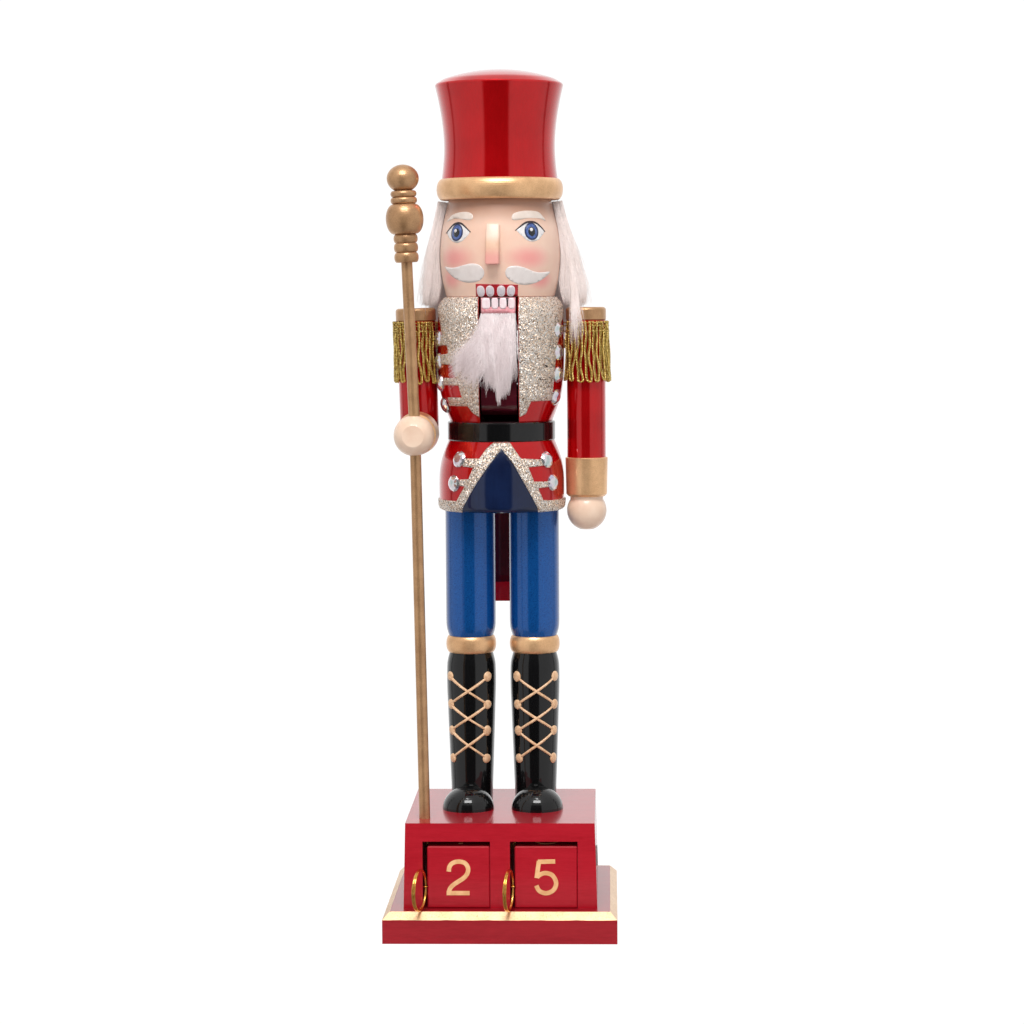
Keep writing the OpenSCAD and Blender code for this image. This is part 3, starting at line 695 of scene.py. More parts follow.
def pull_ring(side):
    """Split ring of brass wire: two turns that lie together at the screw eye and part opposite it."""
    co = np.array([v.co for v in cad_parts[side + "_pull_ring"].data.vertices], float) / MM
    centre = (co.min(0) + co.max(0)) / 2
    thinnest = np.linalg.eigh(np.cov((co - centre).T))[1][:, 0]
    up = Vector((0, 0, 1))
    across = Vector((thinnest[0], thinnest[1], 0)).normalized()
    if across.x < 0:
        across = -across
    away = up.cross(across)
    if away.y > 0:
        away = -away
    wire = 0.44
    radius = (np.linalg.norm(co - centre, axis=1).max()) - 0.5
    middle = Vector(centre)
    paths, radii = [], []
    angle = np.linspace(0, 2 * math.pi, 73)
    for start, spread in ((-0.06, 0.0), (0.06, 0.7)):
        path = []
        for k in angle:
            reach = 0.5 - 0.5 * math.cos(k)
            path.append(middle - away * (radius * math.cos(k)) + up * (radius * math.sin(k))
                        + across * (start + spread * reach))
        paths.append([tuple(p) for p in path])
        radii.append(np.full(len(angle), wire))
    mesh = tubes(side + "_split_ring", paths, radii, sides=12)
    piece = new_piece(side + "_split_ring", mesh, "brass", side + "_ring")
    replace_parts(piece, side + "_pull_ring")


pull_ring("left")
pull_ring("right")


# ---------------------------------------------------------------- boots

def boot_laces(side, columns):
    """Crossed laces of thick paint with a round blob at every eyelet."""
    surface = BOOTS[side]
    rows = [108.6, 96.0, 84.2, 71.7]
    bm = bmesh.new()
    for z in rows:
        for a in columns:
            blob = bmesh.ops.create_uvsphere(bm, u_segments=20, v_segments=12, radius=2.25 * MM)
            n = surface.normal(a, z)
            turn = n.to_track_quat("Z", "Y").to_matrix()
            middle = surface.point(a, z, 0.0)
            stretch = rng.uniform(0.92, 1.08)
            for v in blob["verts"]:
                flat = Vector((v.co.x, v.co.y * stretch, v.co.z * 0.38))
                v.co = middle + turn @ flat
    bmesh_piece(bm, side + "_lace_eyelets", "lace_gold", "figure")
    paths, radii = [], []
    steps = 26
    for upper, lower in zip(rows, rows[1:]):
        for a0, a1, order in ((columns[0], columns[1], 0.0), (columns[1], columns[0], 0.16)):
            path, radius = [], []
            for k in range(steps):
                t = k / (steps - 1)
                a, z = a0 + (a1 - a0) * t, upper + (lower - upper) * t
                hump = order * math.exp(-((t - 0.5) / 0.12) ** 2)
                path.append(surface.point(a, z, 0.12 + hump) / MM)
                radius.append(0.56 + 0.14 * math.sin(5 * t + a0) * (1 - t))
            paths.append([tuple(p) for p in path])
            radii.append(radius)
    mesh = tubes(side + "_laces", paths, radii, sides=10)
    new_piece(side + "_laces", mesh, "lace_gold", "figure")


boot_laces("left", (-55.5, 43.5))
boot_laces("right", (-45.0, 55.0))


# ---------------------------------------------------------------- coat trim

def slot_edge(z, side):
    """Angle of the lever slot's edge at a height, a little outside the cut."""
    half = 8.75
    return side * math.degrees(math.asin(half / TORSO.radius(z)))


def lapel(side, outer):
    """Lapel outline: straight down the slot, then back up the outer edge with its cross bars."""
    top, bottom = TORSO.z[-1] - 0.3, 224.6
    inner = [(slot_edge(z, side), z) for z in np.linspace(top, bottom, 16)]
    return inner + [(side * a, z) for a, z in outer]


LEFT_OUTER = [(28.5, 226.8), (31.5, 229.4), (58, 229.3), (57, 233.0), (36.6, 233.1), (39, 238.4),
              (62, 238.4), (62, 241.5), (41.6, 241.6), (45.6, 247.4), (65, 247.6), (65, 251.6),
              (50.5, 252.2), (52.5, 255.8), (66, 256.0), (68, 259.6), (60.5, 260.2), (64, 264.5), (72, 269.5),
              (84, 272.5), (84, 276.7)]
RIGHT_OUTER = [(27.5, 225.9), (31, 231.4), (56, 231.5), (56, 236.2), (35.1, 236.3), (37.6, 241.7),
               (57, 241.7), (57, 245.6), (41.2, 246.1), (43.6, 251.0), (59, 250.9), (59, 254.2),
               (47.2, 254.3), (50.5, 259.4), (66, 260.4), (66, 263.8), (55.5, 264.2), (58.7, 268.8),
               (66, 271.5), (84, 272.5), (84, 276.7)]
paint("coat_lapels", TORSO, [lapel(-1, LEFT_OUTER), lapel(1, RIGHT_OUTER)], "glitter", "figure",
      lift=0.1, thick=0.32, cell=0.55, rough=0.14)

NAVY = [(2.0, 211.6), (-9.0, 204.4), (-21.6, 195.6), (-39.4, 182.95), (-20, 182.95), (0, 182.95), (20, 182.95),
        (39.4, 182.95), (22.9, 195.8), (12.8, 204.4)]
paint("skirt_panel", SKIRT, [NAVY], "navy", "figure", lift=0.05, thick=0.08, cell=1.2)

HEM_TOP, HEM_LOW = 187.8, 182.9
SKIRT_TRIM = [
    [(2.2, 210.8), (-8.6, 204.4), (-21.3, 195.6), (-38.4, HEM_LOW), (-50, HEM_LOW), (-50, HEM_TOP),
     (-43, HEM_TOP), (-33.2, 194.4), (-38.6, 194.6), (-38.6, 197.3), (-29.1, 197.7), (-24.7, 202.7),
     (-36, 203.0), (-36, 206.4), (-19.4, 206.6), (-13.4, 210.8), (-6.5, 213.45), (11, 213.45), (20.8, 206.5),
     (43, 205.8), (43.5, 203.1), (27.4, 202.7), (32.3, 196.4), (49, 196.1), (49, 193.7), (36.8, 193.4),
     (42.2, HEM_TOP + 0.4), (50, HEM_TOP), (50, HEM_LOW), (38.4, HEM_LOW), (22.7, 195.7), (12.8, 204.5)],
    [(50, HEM_LOW)] + [(a, HEM_LOW) for a in range(60, 310, 10)] + [(310, HEM_LOW), (310, HEM_TOP)]
    + [(a, HEM_TOP) for a in range(300, 50, -10)] + [(50, HEM_TOP)],
]
paint("skirt_trim", SKIRT, SKIRT_TRIM, "glitter", "figure",
      lift=0.12, thick=0.32, cell=0.6, rough=0.14)


def slot_shade_strips():
    """Dark strips on the slot's walls and floor: painted shade, sheets that keep light from showing through the
    slot under the lever.
    """
    strips = [((-8.5, 2.0, 221.2), (-7.9, 28.4, 261.8)), ((7.9, 2.0, 221.2), (8.5, 28.4, 261.8)),
              ((-8.45, -13.0, 221.9), (8.45, 28.4, 222.18)), ((-8.45, 25.0, 222.1), (8.45, 28.3, 223.6))]
    bm = bmesh.new()
    for low, high in strips:
        grown = bmesh.ops.create_cube(bm, size=1.0)
        for v in grown["verts"]:
            v.co = Vector([a + (c + 0.5) * (b - a) for a, b, c in zip(low, high, v.co)]) * MM
    bmesh_piece(bm, "slot_shade_strips", "slot_shade_dark", "figure", smooth=False)


# Painted shade: near-black red for the strips in the slot.
flat_paint("slot_shade_dark", (58, 10, 20), (40, 6, 14), 0.9, 500, 0)
slot_shade_strips()


# ---------------------------------------------------------------- gems

def gem_places():
    """Centre and outward direction of every gem, from the CAD solids."""
    bm = bmesh.new()
    bm.from_mesh(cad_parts["coat_gems"].data)
    bmesh.ops.remove_doubles(bm, verts=bm.verts[:], dist=1e-6)
    seen, places = set(), []
    for start in bm.verts:
        if start in seen:
            continue
        stack, island = [start], []
        seen.add(start)
        while stack:
            v = stack.pop()
            island.append(v.co.copy())
            for e in v.link_edges:
                w = e.other_vert(v)
                if w not in seen:
                    seen.add(w)
                    stack.append(w)
        co = np.array(island, float)
        middle = (co.min(0) + co.max(0)) / 2
        centre = co.mean(0)
        vectors = np.linalg.eigh(np.cov((co - centre).T))[1]
        n = Vector(vectors[:, 0])
        outward = Vector((middle[0], middle[1] - AXIS_Y * MM, 0))
        if n.dot(outward) < 0:
            n = -n
        height = (co - centre) @ np.array(n)
        places.append((Vector(centre) + n * float(height.min()), n))
    bm.free()
    return places


def coat_gems():
    """Round cut stones: a flat table, two rows of crown facets and a thin girdle."""
    radius, count = 3.65, 12
    bm = bmesh.new()
    for index, (base, n) in enumerate(gem_places()):
        turn = n.to_track_quat("Z", "Y").to_matrix() @ Matrix.Rotation(index * 0.7, 3, "Z")
        rings = []
        for r, z, shift in ((1.0, -0.25, 0), (1.0, 0.25, 0), (0.8, 1.0, 0.5), (0.5, 1.55, 0)):
            ring = []
            for k in range(count):
                a = 2 * math.pi * (k + shift) / count
                local = Vector((radius * r * math.cos(a), radius * r * math.sin(a), z)) * MM
                ring.append(bm.verts.new(base + turn @ local))
            rings.append(ring)
        for k in range(count):
            j = (k + 1) % count
            bm.faces.new([rings[0][k], rings[0][j], rings[1][j], rings[1][k]])
            bm.faces.new([rings[1][k], rings[1][j], rings[2][k]])
            bm.faces.new([rings[1][j], rings[2][j], rings[2][k]])
            bm.faces.new([rings[2][k], rings[3][j], rings[3][k]])
            bm.faces.new([rings[2][k], rings[2][j], rings[3][j]])
        bm.faces.new(rings[3])
        bm.faces.new(rings[0][::-1])
    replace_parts(bmesh_piece(bm, "coat_stones", "gem", "figure", smooth=False), "coat_gems")


def gem_material():
    s = Shader("gem", rough=0.06, metal=0.85, coat=1.0, coat_rough=0.01)
    tint = s.noise(300, 1)
    s.set("Base Color", s.ramp(tint, [(0.3, (206, 226, 224)), (0.45, (246, 246, 248)),
                                      (0.58, (250, 238, 246)), (0.72, (214, 208, 232))]))
    s.set("Thin Film Thickness", 320.0)
    s.bump(s.noise(1800, 2), 0.05, 0.02)


gem_material()
coat_gems()


# ---------------------------------------------------------------- face

def skin_material():
    """Flesh paint with a soft blush on both cheeks and at the mouth's corners, and a painted shadow on the top
    of the forehead under the hat band.
    """
    s = Shader("face_paint", rough=0.36, coat=0.45, coat_rough=0.22)
    cloud = s.noise(70, 4)
    base = s.ramp(cloud, [(0.35, (238, 198, 176)), (0.65, (243, 207, 186))])
    for degrees, z, wide, tall, strength in ((-47, 293.6, 14.5, 7.4, 0.7), (31, 293.6, 14.5, 7.0, 0.7),
                                             (-56, 284.4, 10, 5.5, 0.7), (46, 284.0, 10, 5.5, 0.75)):
        centre = HEAD.point(degrees, z)
        squeeze = wide / tall
        distance = s.vector("DISTANCE", s.stretched(1, 1, squeeze), (centre.x, centre.y, centre.z * squeeze))
        fade = s.between(distance, wide * MM, wide * 0.1 * MM)
        base = s.mix(s.math("MULTIPLY", fade, strength), base, (238, 138, 138))
    # Painted shadow: the forehead darkens towards the hat band above it.
    band_shadow = s.between(s.axis("Z"), 306 * MM, 316.5 * MM)
    base = s.mix(s.math("MULTIPLY", band_shadow, 0.9), base, (170, 124, 100))
    s.set("Base Color", base)
    s.set("Roughness", s.spread(cloud, 0.3, 0.44))
    s.set("Subsurface Weight", 0.05)
    s.set("Subsurface Radius", (0.002, 0.001, 0.0006))
    s.bump(s.noise(900, 2), 0.1, 0.02)


skin_material()
flat_paint("brow_white", (230, 216, 206), (222, 206, 194))
flat_paint("moustache_grey", (232, 223, 219), (224, 214, 210))
flat_paint("eye_white", (242, 238, 236), (224, 218, 218), 0.3, 300, 0.6)
flat_paint("iris_rim", (34, 50, 96), (24, 36, 76), 0.3, 500, 0.6)
flat_paint("iris_blue", (84, 112, 176), (52, 76, 140), 0.3, 900, 0.6)
flat_paint("pupil", (16, 22, 30), (8, 10, 16), 0.25, 500, 0.8)
flat_paint("lid_line", (58, 40, 44), (36, 26, 34))
flat_paint("mouth_red", (196, 30, 44), (160, 14, 28), 0.34, 400, 0.6)
flat_paint("tooth_rim", (248, 232, 234), (240, 214, 218), 0.34, 500, 0.6)
flat_paint("tooth", (228, 220, 224), (214, 204, 210), 0.34, 700, 0.6)
flat_paint("gum_pink", (248, 186, 190), (232, 140, 150), 0.36, 900, 0.5)
flat_paint("mouth_dark", (52, 20, 34), (28, 10, 20), 0.4, 500, 0.4)
give(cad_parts["head"], MAT["face_paint"])


def face_patch(name, outlines, material, level, thick=0.05, cell=1.2):
    """Paint on the head; each level lies on top of the one below."""
    paint(name, HEAD, outlines, material, "figure",
          lift=0.03 + 0.05 * level, thick=thick, cell=cell)


def eyes():
    white = [curved([(-61.5, 305.0), (-54, 302.0), (-46.5, 300.6), (-40.5, 300.5), (-34.5, 301.7),
                     (-28.5, 304.7), (-34, 306.9), (-40, 308.2), (-45.2, 308.4), (-51, 307.9), (-56.5, 306.5)]),
             curved([(18.4, 305.5), (24.8, 302.6), (28.8, 301.2), (33.6, 300.6), (40.5, 301.2), (45.5, 302.8),
                     (50, 305.0), (44.6, 307.2), (39.2, 308.4), (31.7, 308.6), (27.3, 308.1), (22.4, 306.8)])]
    face_patch("eye_whites", white, "eye_white", 0)
    irises = [(-44.6, 304.8, 8.4, 3.75), (34.3, 305.0, 7.9, 3.8)]
    face_patch("iris_rims", [ellipse(*i) for i in irises], "iris_rim", 1, cell=0.8)
    face_patch("irises", [ellipse(a, z, w * 0.8, h * 0.82) for a, z, w, h in irises], "iris_blue", 2,
               cell=0.8)
    face_patch("pupils", [ellipse(a, z - 0.1, w * 0.5, h * 0.52) for a, z, w, h in irises], "pupil", 3,
               cell=0.8)
    glints = [ellipse(a - 1.6 * s, z + 0.75, w * 0.22, h * 0.2) for (a, z, w, h), s in zip(irises, (1, 0.2))]
    face_patch("eye_glints", glints, "eye_white", 4, cell=0.6)
    lids = [brush_line([(-63, 304.6), (-56.3, 306.7), (-50.7, 308.3), (-45.2, 308.9), (-39.9, 308.7),
                        (-34, 307.2), (-27.2, 304.8)], 0.8),
            brush_line([(17.0, 305.3), (22.2, 307.1), (27.5, 308.6), (32.5, 309.1), (39.2, 308.9),
                        (44.8, 307.5), (51.4, 304.9)], 0.8)]
    face_patch("eyelid_lines", lids, "lid_line", 3, cell=0.8)


def brows_and_moustache():
    brows = [curved([(-66, 309.8), (-58, 312.3), (-45.6, 313.5), (-33.7, 313.6), (-27.2, 312.4), (-26.6, 310.6),
                     (-32.2, 310.0), (-40, 310.6), (-51, 311.0), (-60, 310.1)]),
             curved([(15, 309.9), (14.6, 311.8), (19, 313.2), (31.3, 314.0), (45, 313.6), (51.5, 311.8),
                     (55, 309.7), (48, 310.5), (40, 310.8), (30.5, 310.7), (22, 310.0)])]
    face_patch("eyebrows", brows, "brow_white", 0)
    halves = [curved([(-65, 290.1), (-55, 289.7), (-46.6, 289.7), (-35.3, 290.6), (-26.8, 291.3),
                      (-19.4, 290.9), (-14.6, 289.2), (-13.2, 287.0), (-15.6, 284.9), (-20.6, 283.5),
                      (-29.4, 283.0), (-39, 283.6), (-50, 285.3), (-59, 287.8)]),
              curved([(6.9, 287.1), (8.2, 289.0), (12.5, 290.0), (19.2, 290.1), (26.8, 289.2), (35, 287.9),
                      (44, 287.3), (58.5, 287.5), (51, 285.0), (41.3, 283.0), (31.4, 282.0), (22.2, 282.1),
                      (14, 283.3), (8.6, 285.2)])]
    face_patch("moustache", halves, "moustache_grey", 0, thick=0.04)


def mouth():
    """Red painted mouth with four upper teeth on the head, and four lower teeth on the lever."""
    floor = HEAD.z[0] + 0.05
    lips = [(-24.2, floor), (-23.0, 282.5), (0, 282.3), (20.0, 282.0), (20.6, floor), (0, floor)]
    face_patch("mouth_paint", [lips], "mouth_red", 0)
    centres = [-18.2, -8.4, 2.9, 12.9]
    face_patch("upper_tooth_rims", [ellipse(a, 279.3, 4.25, 2.4, power=0.85) for a in centres], "tooth_rim", 1,
               cell=0.8)
    face_patch("upper_teeth", [ellipse(a, 279.35, 3.3, 1.95, power=0.85) for a in centres], "tooth", 2,
               cell=0.8)
    lever_low, lever_high = (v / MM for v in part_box("jaw_lever"))
    face = Front(lever_low.y)
    top = lever_high.z - 0.25
    half = (lever_high.x - lever_low.x) / 2 - 0.25
    plate = [(-half, top - 7.0), (half, top - 7.0), (half, top), (-half, top)]
    paint("lower_gum", face, [plate], "gum_pink", "jaw", lift=0.02, thick=0.08, cell=2)
    gaps = [[(x - 0.6, top - 0.1), (x - 0.2, top - 4.0), (x + 0.2, top - 4.0), (x + 0.6, top - 0.1)]
            for x in (-3.2, 0.25, 3.95)]
    paint("tooth_gaps", face, gaps, "mouth_dark", "jaw", lift=0.08, thick=0.06, cell=2)
    teeth = [ellipse(x, top - 2.5, w, 2.35, power=0.6) for x, w in ((-5.3, 1.85), (-1.45, 1.5), (2.05, 1.55),
                                                                   (5.75, 1.45))]
    paint("lower_teeth", face, teeth, "tooth_rim", "jaw", lift=0.1, thick=0.16, cell=1)


def nose():
    """Rounded wooden wedge, pink at its tip, with a painted highlight along its upper ridge."""
    lo, hi = (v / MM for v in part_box("nose"))
    turn = math.radians(-4.5)
    tip = AXIS_Y - lo.y
    outline = [(-22.5, lo.z), (-tip + 0.1, lo.z), (-26.9, hi.z - 0.4), (-22.5, hi.z - 0.2)]
    bm = bmesh.new()
    half = 3.0
    left = [bm.verts.new((-half, y, z)) for y, z in outline]
    right = [bm.verts.new((half, y, z)) for y, z in outline]
    bm.faces.new(left)
    bm.faces.new(right[::-1])
    for k in range(4):
        j = (k + 1) % 4
        bm.faces.new([left[j], left[k], right[k], right[j]])
    bmesh.ops.recalc_face_normals(bm, faces=bm.faces[:])
    bmesh.ops.bevel(bm, geom=bm.edges[:], offset=0.75, segments=4, profile=0.5, affect="EDGES")
    spin = Matrix.Rotation(turn, 3, "Z")
    for v in bm.verts:
        v.co = (spin @ v.co + Vector((0, AXIS_Y, 0))) * MM
    s = Shader("nose_paint", rough=0.34, coat=0.5, coat_rough=0.2)
    skin = s.ramp(s.noise(200, 3), [(0.35, (222, 178, 150)), (0.65, (230, 190, 162))])
    height = s.axis("Z")
    pink = s.between(height, (lo.z + 8.5) * MM, (lo.z + 2.5) * MM, high=0.75)
    # Painted highlight: the upper ridge of the nose turns pale.
    ridge_highlight = s.between(height, (lo.z + 9) * MM, (lo.z + 13) * MM, high=0.5)
    s.set("Base Color", s.mix(ridge_highlight, s.mix(pink, skin, (224, 146, 142)), (246, 226, 210)))
    s.bump(s.noise(900, 2), 0.1, 0.02)
    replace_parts(bmesh_piece(bm, "nose_block", "nose_paint", "figure"), "nose")


eyes()
brows_and_moustache()
mouth()
nose()


# ---------------------------------------------------------------- fur

def smoothstep(t):
    t = np.clip(t, 0, 1)
    return t * t * (3 - 2 * t)


HAIR_Z = (255, 266, 275, 282, 296, 310, 319.5)
HAIR_REACH = {
    "right": (36.6, 37.6, 38.0, 37.8, 34.0, 29.6, 27.4),
    "back": (33.5, 34.5, 35.0, 34.5, 32.0, 29.6, 27.4),
    "left": (33.0, 33.8, 34.2, 34.0, 32.2, 29.2, 27.2),
}
SCALP_Z = (255, 272, 277, 283, 290, 297, 305, 312, 319.5)
SCALP_R = (28.8, 28.6, 27.0, 26.0, 26.8, 26.9, 26.2, 24.8, 23.0)


def hair_reach(degrees, z):
    """How far the hair stands out from the figure's axis."""
    reach = {side: np.interp(z, HAIR_Z, r) for side, r in HAIR_REACH.items()}
    right = smoothstep((140 - degrees) / 30)
    left = smoothstep((degrees - 220) / 30)
    return reach["back"] * (1 - right - left) + reach["right"] * right + reach["left"] * left


def hair_part(name, a_low, a_high, seed, count=2650):
    """Fur hanging from under the hat band round part of the head."""
    gen = np.random.default_rng(seed)
    steps = 13
    t = np.linspace(0, 1, steps)[None, :]
    a0 = gen.uniform(a_low, a_high, count) + gen.normal(0, 1.6, count)
    layer = gen.random(count) ** 1.05
    root_z = 319.0 - (1 - layer) * gen.random(count) * 34
    away = np.abs(((a0 + 180) % 360) - 180)
    over_arm = smoothstep((116 - away) / 10)
    tip_z = 263 + gen.normal(0, 3.4, count)
    tip_z = tip_z * (1 - over_arm) + (273.0 + gen.random(count) ** 1.5 * 7) * over_arm
    over_lever = np.abs(a0 - 180) < 27
    tip_z = np.where(over_lever, 263.4 + np.abs(gen.normal(0, 2.6, count)), tip_z)
    z = root_z[:, None] + (tip_z - root_z)[:, None] * t
    clump = np.clip((a0 - a_low) * 0.55, 0, None).astype(int)
    wave = gen.uniform(0, 2 * math.pi, clump.max() + 1)[clump]
    pull = gen.uniform(-1, 1, clump.max() + 1)[clump]
    swing = gen.normal(0, 3.0, count)[:, None] * t + 1.6 * np.sin(wave[:, None] + 4.6 * t) * t
    curl = gen.uniform(0, 2 * math.pi, count)[:, None] + gen.uniform(6, 11, count)[:, None] * t
    a = a0[:, None] + swing + (pull * 1.2)[:, None] * t + 0.9 * np.sin(curl) * t
    low = np.interp(z, SCALP_Z, SCALP_R)
    high = hair_reach(a, z)
    stray = np.where(gen.random(count) < 0.3, gen.exponential(1.1, count), 0)[:, None] * t ** 1.5
    share = np.clip(layer[:, None] + 0.06 * pull[:, None] * t, 0.03, 1.0)
    r = low + (high - low) * share + stray + 0.35 * np.cos(curl) * t
    rad = np.radians(a)
    path = np.stack([HEAD.cx + r * np.sin(rad), HEAD.cy - r * np.cos(rad), z], -1)
    thin = gen.uniform(0.075, 0.12, count)[:, None] * (1.0 - 0.75 * t ** 2)
    return new_piece(name, tubes(name, path, thin, sides=3), "white_fur", "figure")


def shoulder_wisps(name, side, count, tip, spread_mm, seed):
    """Loose strands that fall over the front of a shoulder."""
    gen = np.random.default_rng(seed)
    t = np.linspace(0, 1, 17)[None, :, None]
    a = np.radians(gen.uniform(80, 96, count))
    z = gen.uniform(296, 318, count)
    r = np.interp(z, SCALP_Z, SCALP_R) + gen.uniform(0.5, 2.5, count)
    start = np.stack([side * r * np.sin(a), HEAD.cy - r * np.cos(a), z], -1)
    jitter = gen.normal(0, 1, (3, count, 3))
    knee = np.array([side * 31.5, 4.5, 296]) + jitter[0] * (1.0, 1.2, 3)
    bend = np.array([side * (abs(tip[0]) - 0.5), -0.5, 281]) + jitter[1] * (1.2, 0.8, 2)
    end = np.array(tip) + jitter[2] * spread_mm
    path = (start[:, None] * (1 - t) ** 3 + 3 * knee[:, None] * t * (1 - t) ** 2
            + 3 * bend[:, None] * t ** 2 * (1 - t) + end[:, None] * t ** 3)
    thin = gen.uniform(0.06, 0.1, count)[:, None] * (1.0 - 0.7 * t[..., 0] ** 2)
    new_piece(name, tubes(name, path, thin, sides=3), "white_fur", "figure")


def hair_backing():
    """Soft pile close to the head, so that nothing shows between the strands."""
    lows, highs = 99, 261
    rows, columns = 26, 90
    points, faces = [], []
    for i in range(rows):
        t = i / (rows - 1)
        z = 318.6 - t * 44
        for j in range(columns):
            a = lows + (highs - lows) * j / (columns - 1)
            away = abs(((a + 180) % 360) - 180)
            hold = float(smoothstep((away - 99) / 12))
            low = float(np.interp(z, SCALP_Z, SCALP_R))
            radius = low + 0.25 + 0.45 * hold * (float(hair_reach(a, z)) - low)
            radius += 0.12 * math.sin(a * 1.9 + 3 * t) + 0.1 * math.sin(a * 4.3 + 7 * t)
            rad = math.radians(a)
            place = Vector((HEAD.cx + radius * math.sin(rad), HEAD.cy - radius * math.cos(rad), z))
            points.append(place * MM)
    for i in range(rows - 1):
        for j in range(columns - 1):
            a = i * columns + j
            faces.append((a, a + 1, a + columns + 1, a + columns))
    mesh = mesh_from("hair_backing", points, faces)
    piece = new_piece("hair_backing", mesh, "white_fur", "figure")
    solid = piece.modifiers.new("thickness", "SOLIDIFY")
    solid.thickness = 0.3 * MM
    solid.offset = -1
    return piece


def beard_lock(name, seed, sweep, count):
    """Fur glued to the lever under the lower teeth: it falls straight, or sweeps to the left."""
    gen = np.random.default_rng(seed)
    t = np.linspace(0, 1, 13)[None, :]
    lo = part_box("jaw_lever")[0] / MM
    front = AXIS_Y - lo.y
    x0 = gen.uniform(-7.5, 7.5, count)
    z0 = 269.8 - gen.random(count) ** 1.2 * 12
    share = gen.random(count)
    if sweep:
        x1 = -23.5 + 18 * share ** 0.8
        z1 = 248.5 - (x1 + 23) * 0.4 + gen.normal(0, 2.8, count) + (z0 - 264) * 0.3
        bulge = gen.uniform(0.8, 5.0, count)
    else:
        x1 = 0.6 + x0 * 0.8 + gen.normal(0, 1.3, count)
        z1 = 231.0 + np.abs(x1 - 1.2) ** 1.3 * 1.0 + gen.random(count) ** 1.3 * 19
        bulge = gen.uniform(0.8, 6.5, count)
    tuft = np.round(x1 / 1.5)
    z1 = np.maximum(z1 + gen.normal(0, 1.6, 60)[tuft.astype(int) % 60], 228.0 + gen.random(count) * 2)
    x1 = x1 * 0.4 + tuft * 1.5 * 0.6
    x = x0[:, None] + (x1 - x0)[:, None] * t ** (1.3 if sweep else 1.1)
    z = z0[:, None] + (z1 - z0)[:, None] * t ** 0.95
    body = np.sqrt(np.maximum(28.9 ** 2 - x ** 2, 1))
    body = np.maximum(body, np.where(np.abs(x) < 9, front, 0))
    depth = body + 0.15 + bulge[:, None] * np.sin(math.pi * np.clip(t * 0.9 + 0.06, 0, 1)) ** 0.7
    phase = gen.uniform(0, 6.28, 60)[(np.abs(x1) * 2 + share * 8).astype(int) % 60]
    x = x + 0.7 * np.sin(phase[:, None] + 4.5 * t) * t
    path = np.stack([x, AXIS_Y - depth, z], -1)
    thin = gen.uniform(0.075, 0.12, count)[:, None] * (1.0 - 0.8 * t ** 2)
    return new_piece(name, tubes(name, path, thin, sides=3), "beard_fur", "jaw")


HAIR_ZONES = [("right", 84, 119), ("right_back", 115, 151), ("back_right", 147, 183), ("back_left", 177, 213),
              ("left_back", 209, 245), ("left", 241, 276)]
for number, (zone, a_from, a_to) in enumerate(HAIR_ZONES):
    hair_part("hair_" + zone, a_from, a_to, 3 + number)
shoulder_wisps("hair_wisps_right", 1, 260, (33.6, -4.6, 262.5), (1.7, 0.5, 4.0), 51)
shoulder_wisps("hair_wisps_left", -1, 90, (-32.5, -1.4, 275.5), (0.8, 0.4, 2.0), 52)
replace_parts(hair_backing(), "hair")
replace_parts(beard_lock("beard_fall", 23, False, 2650), "beard")
beard_lock("beard_sweep", 24, True, 1900)


# ---------------------------------------------------------------- fringes

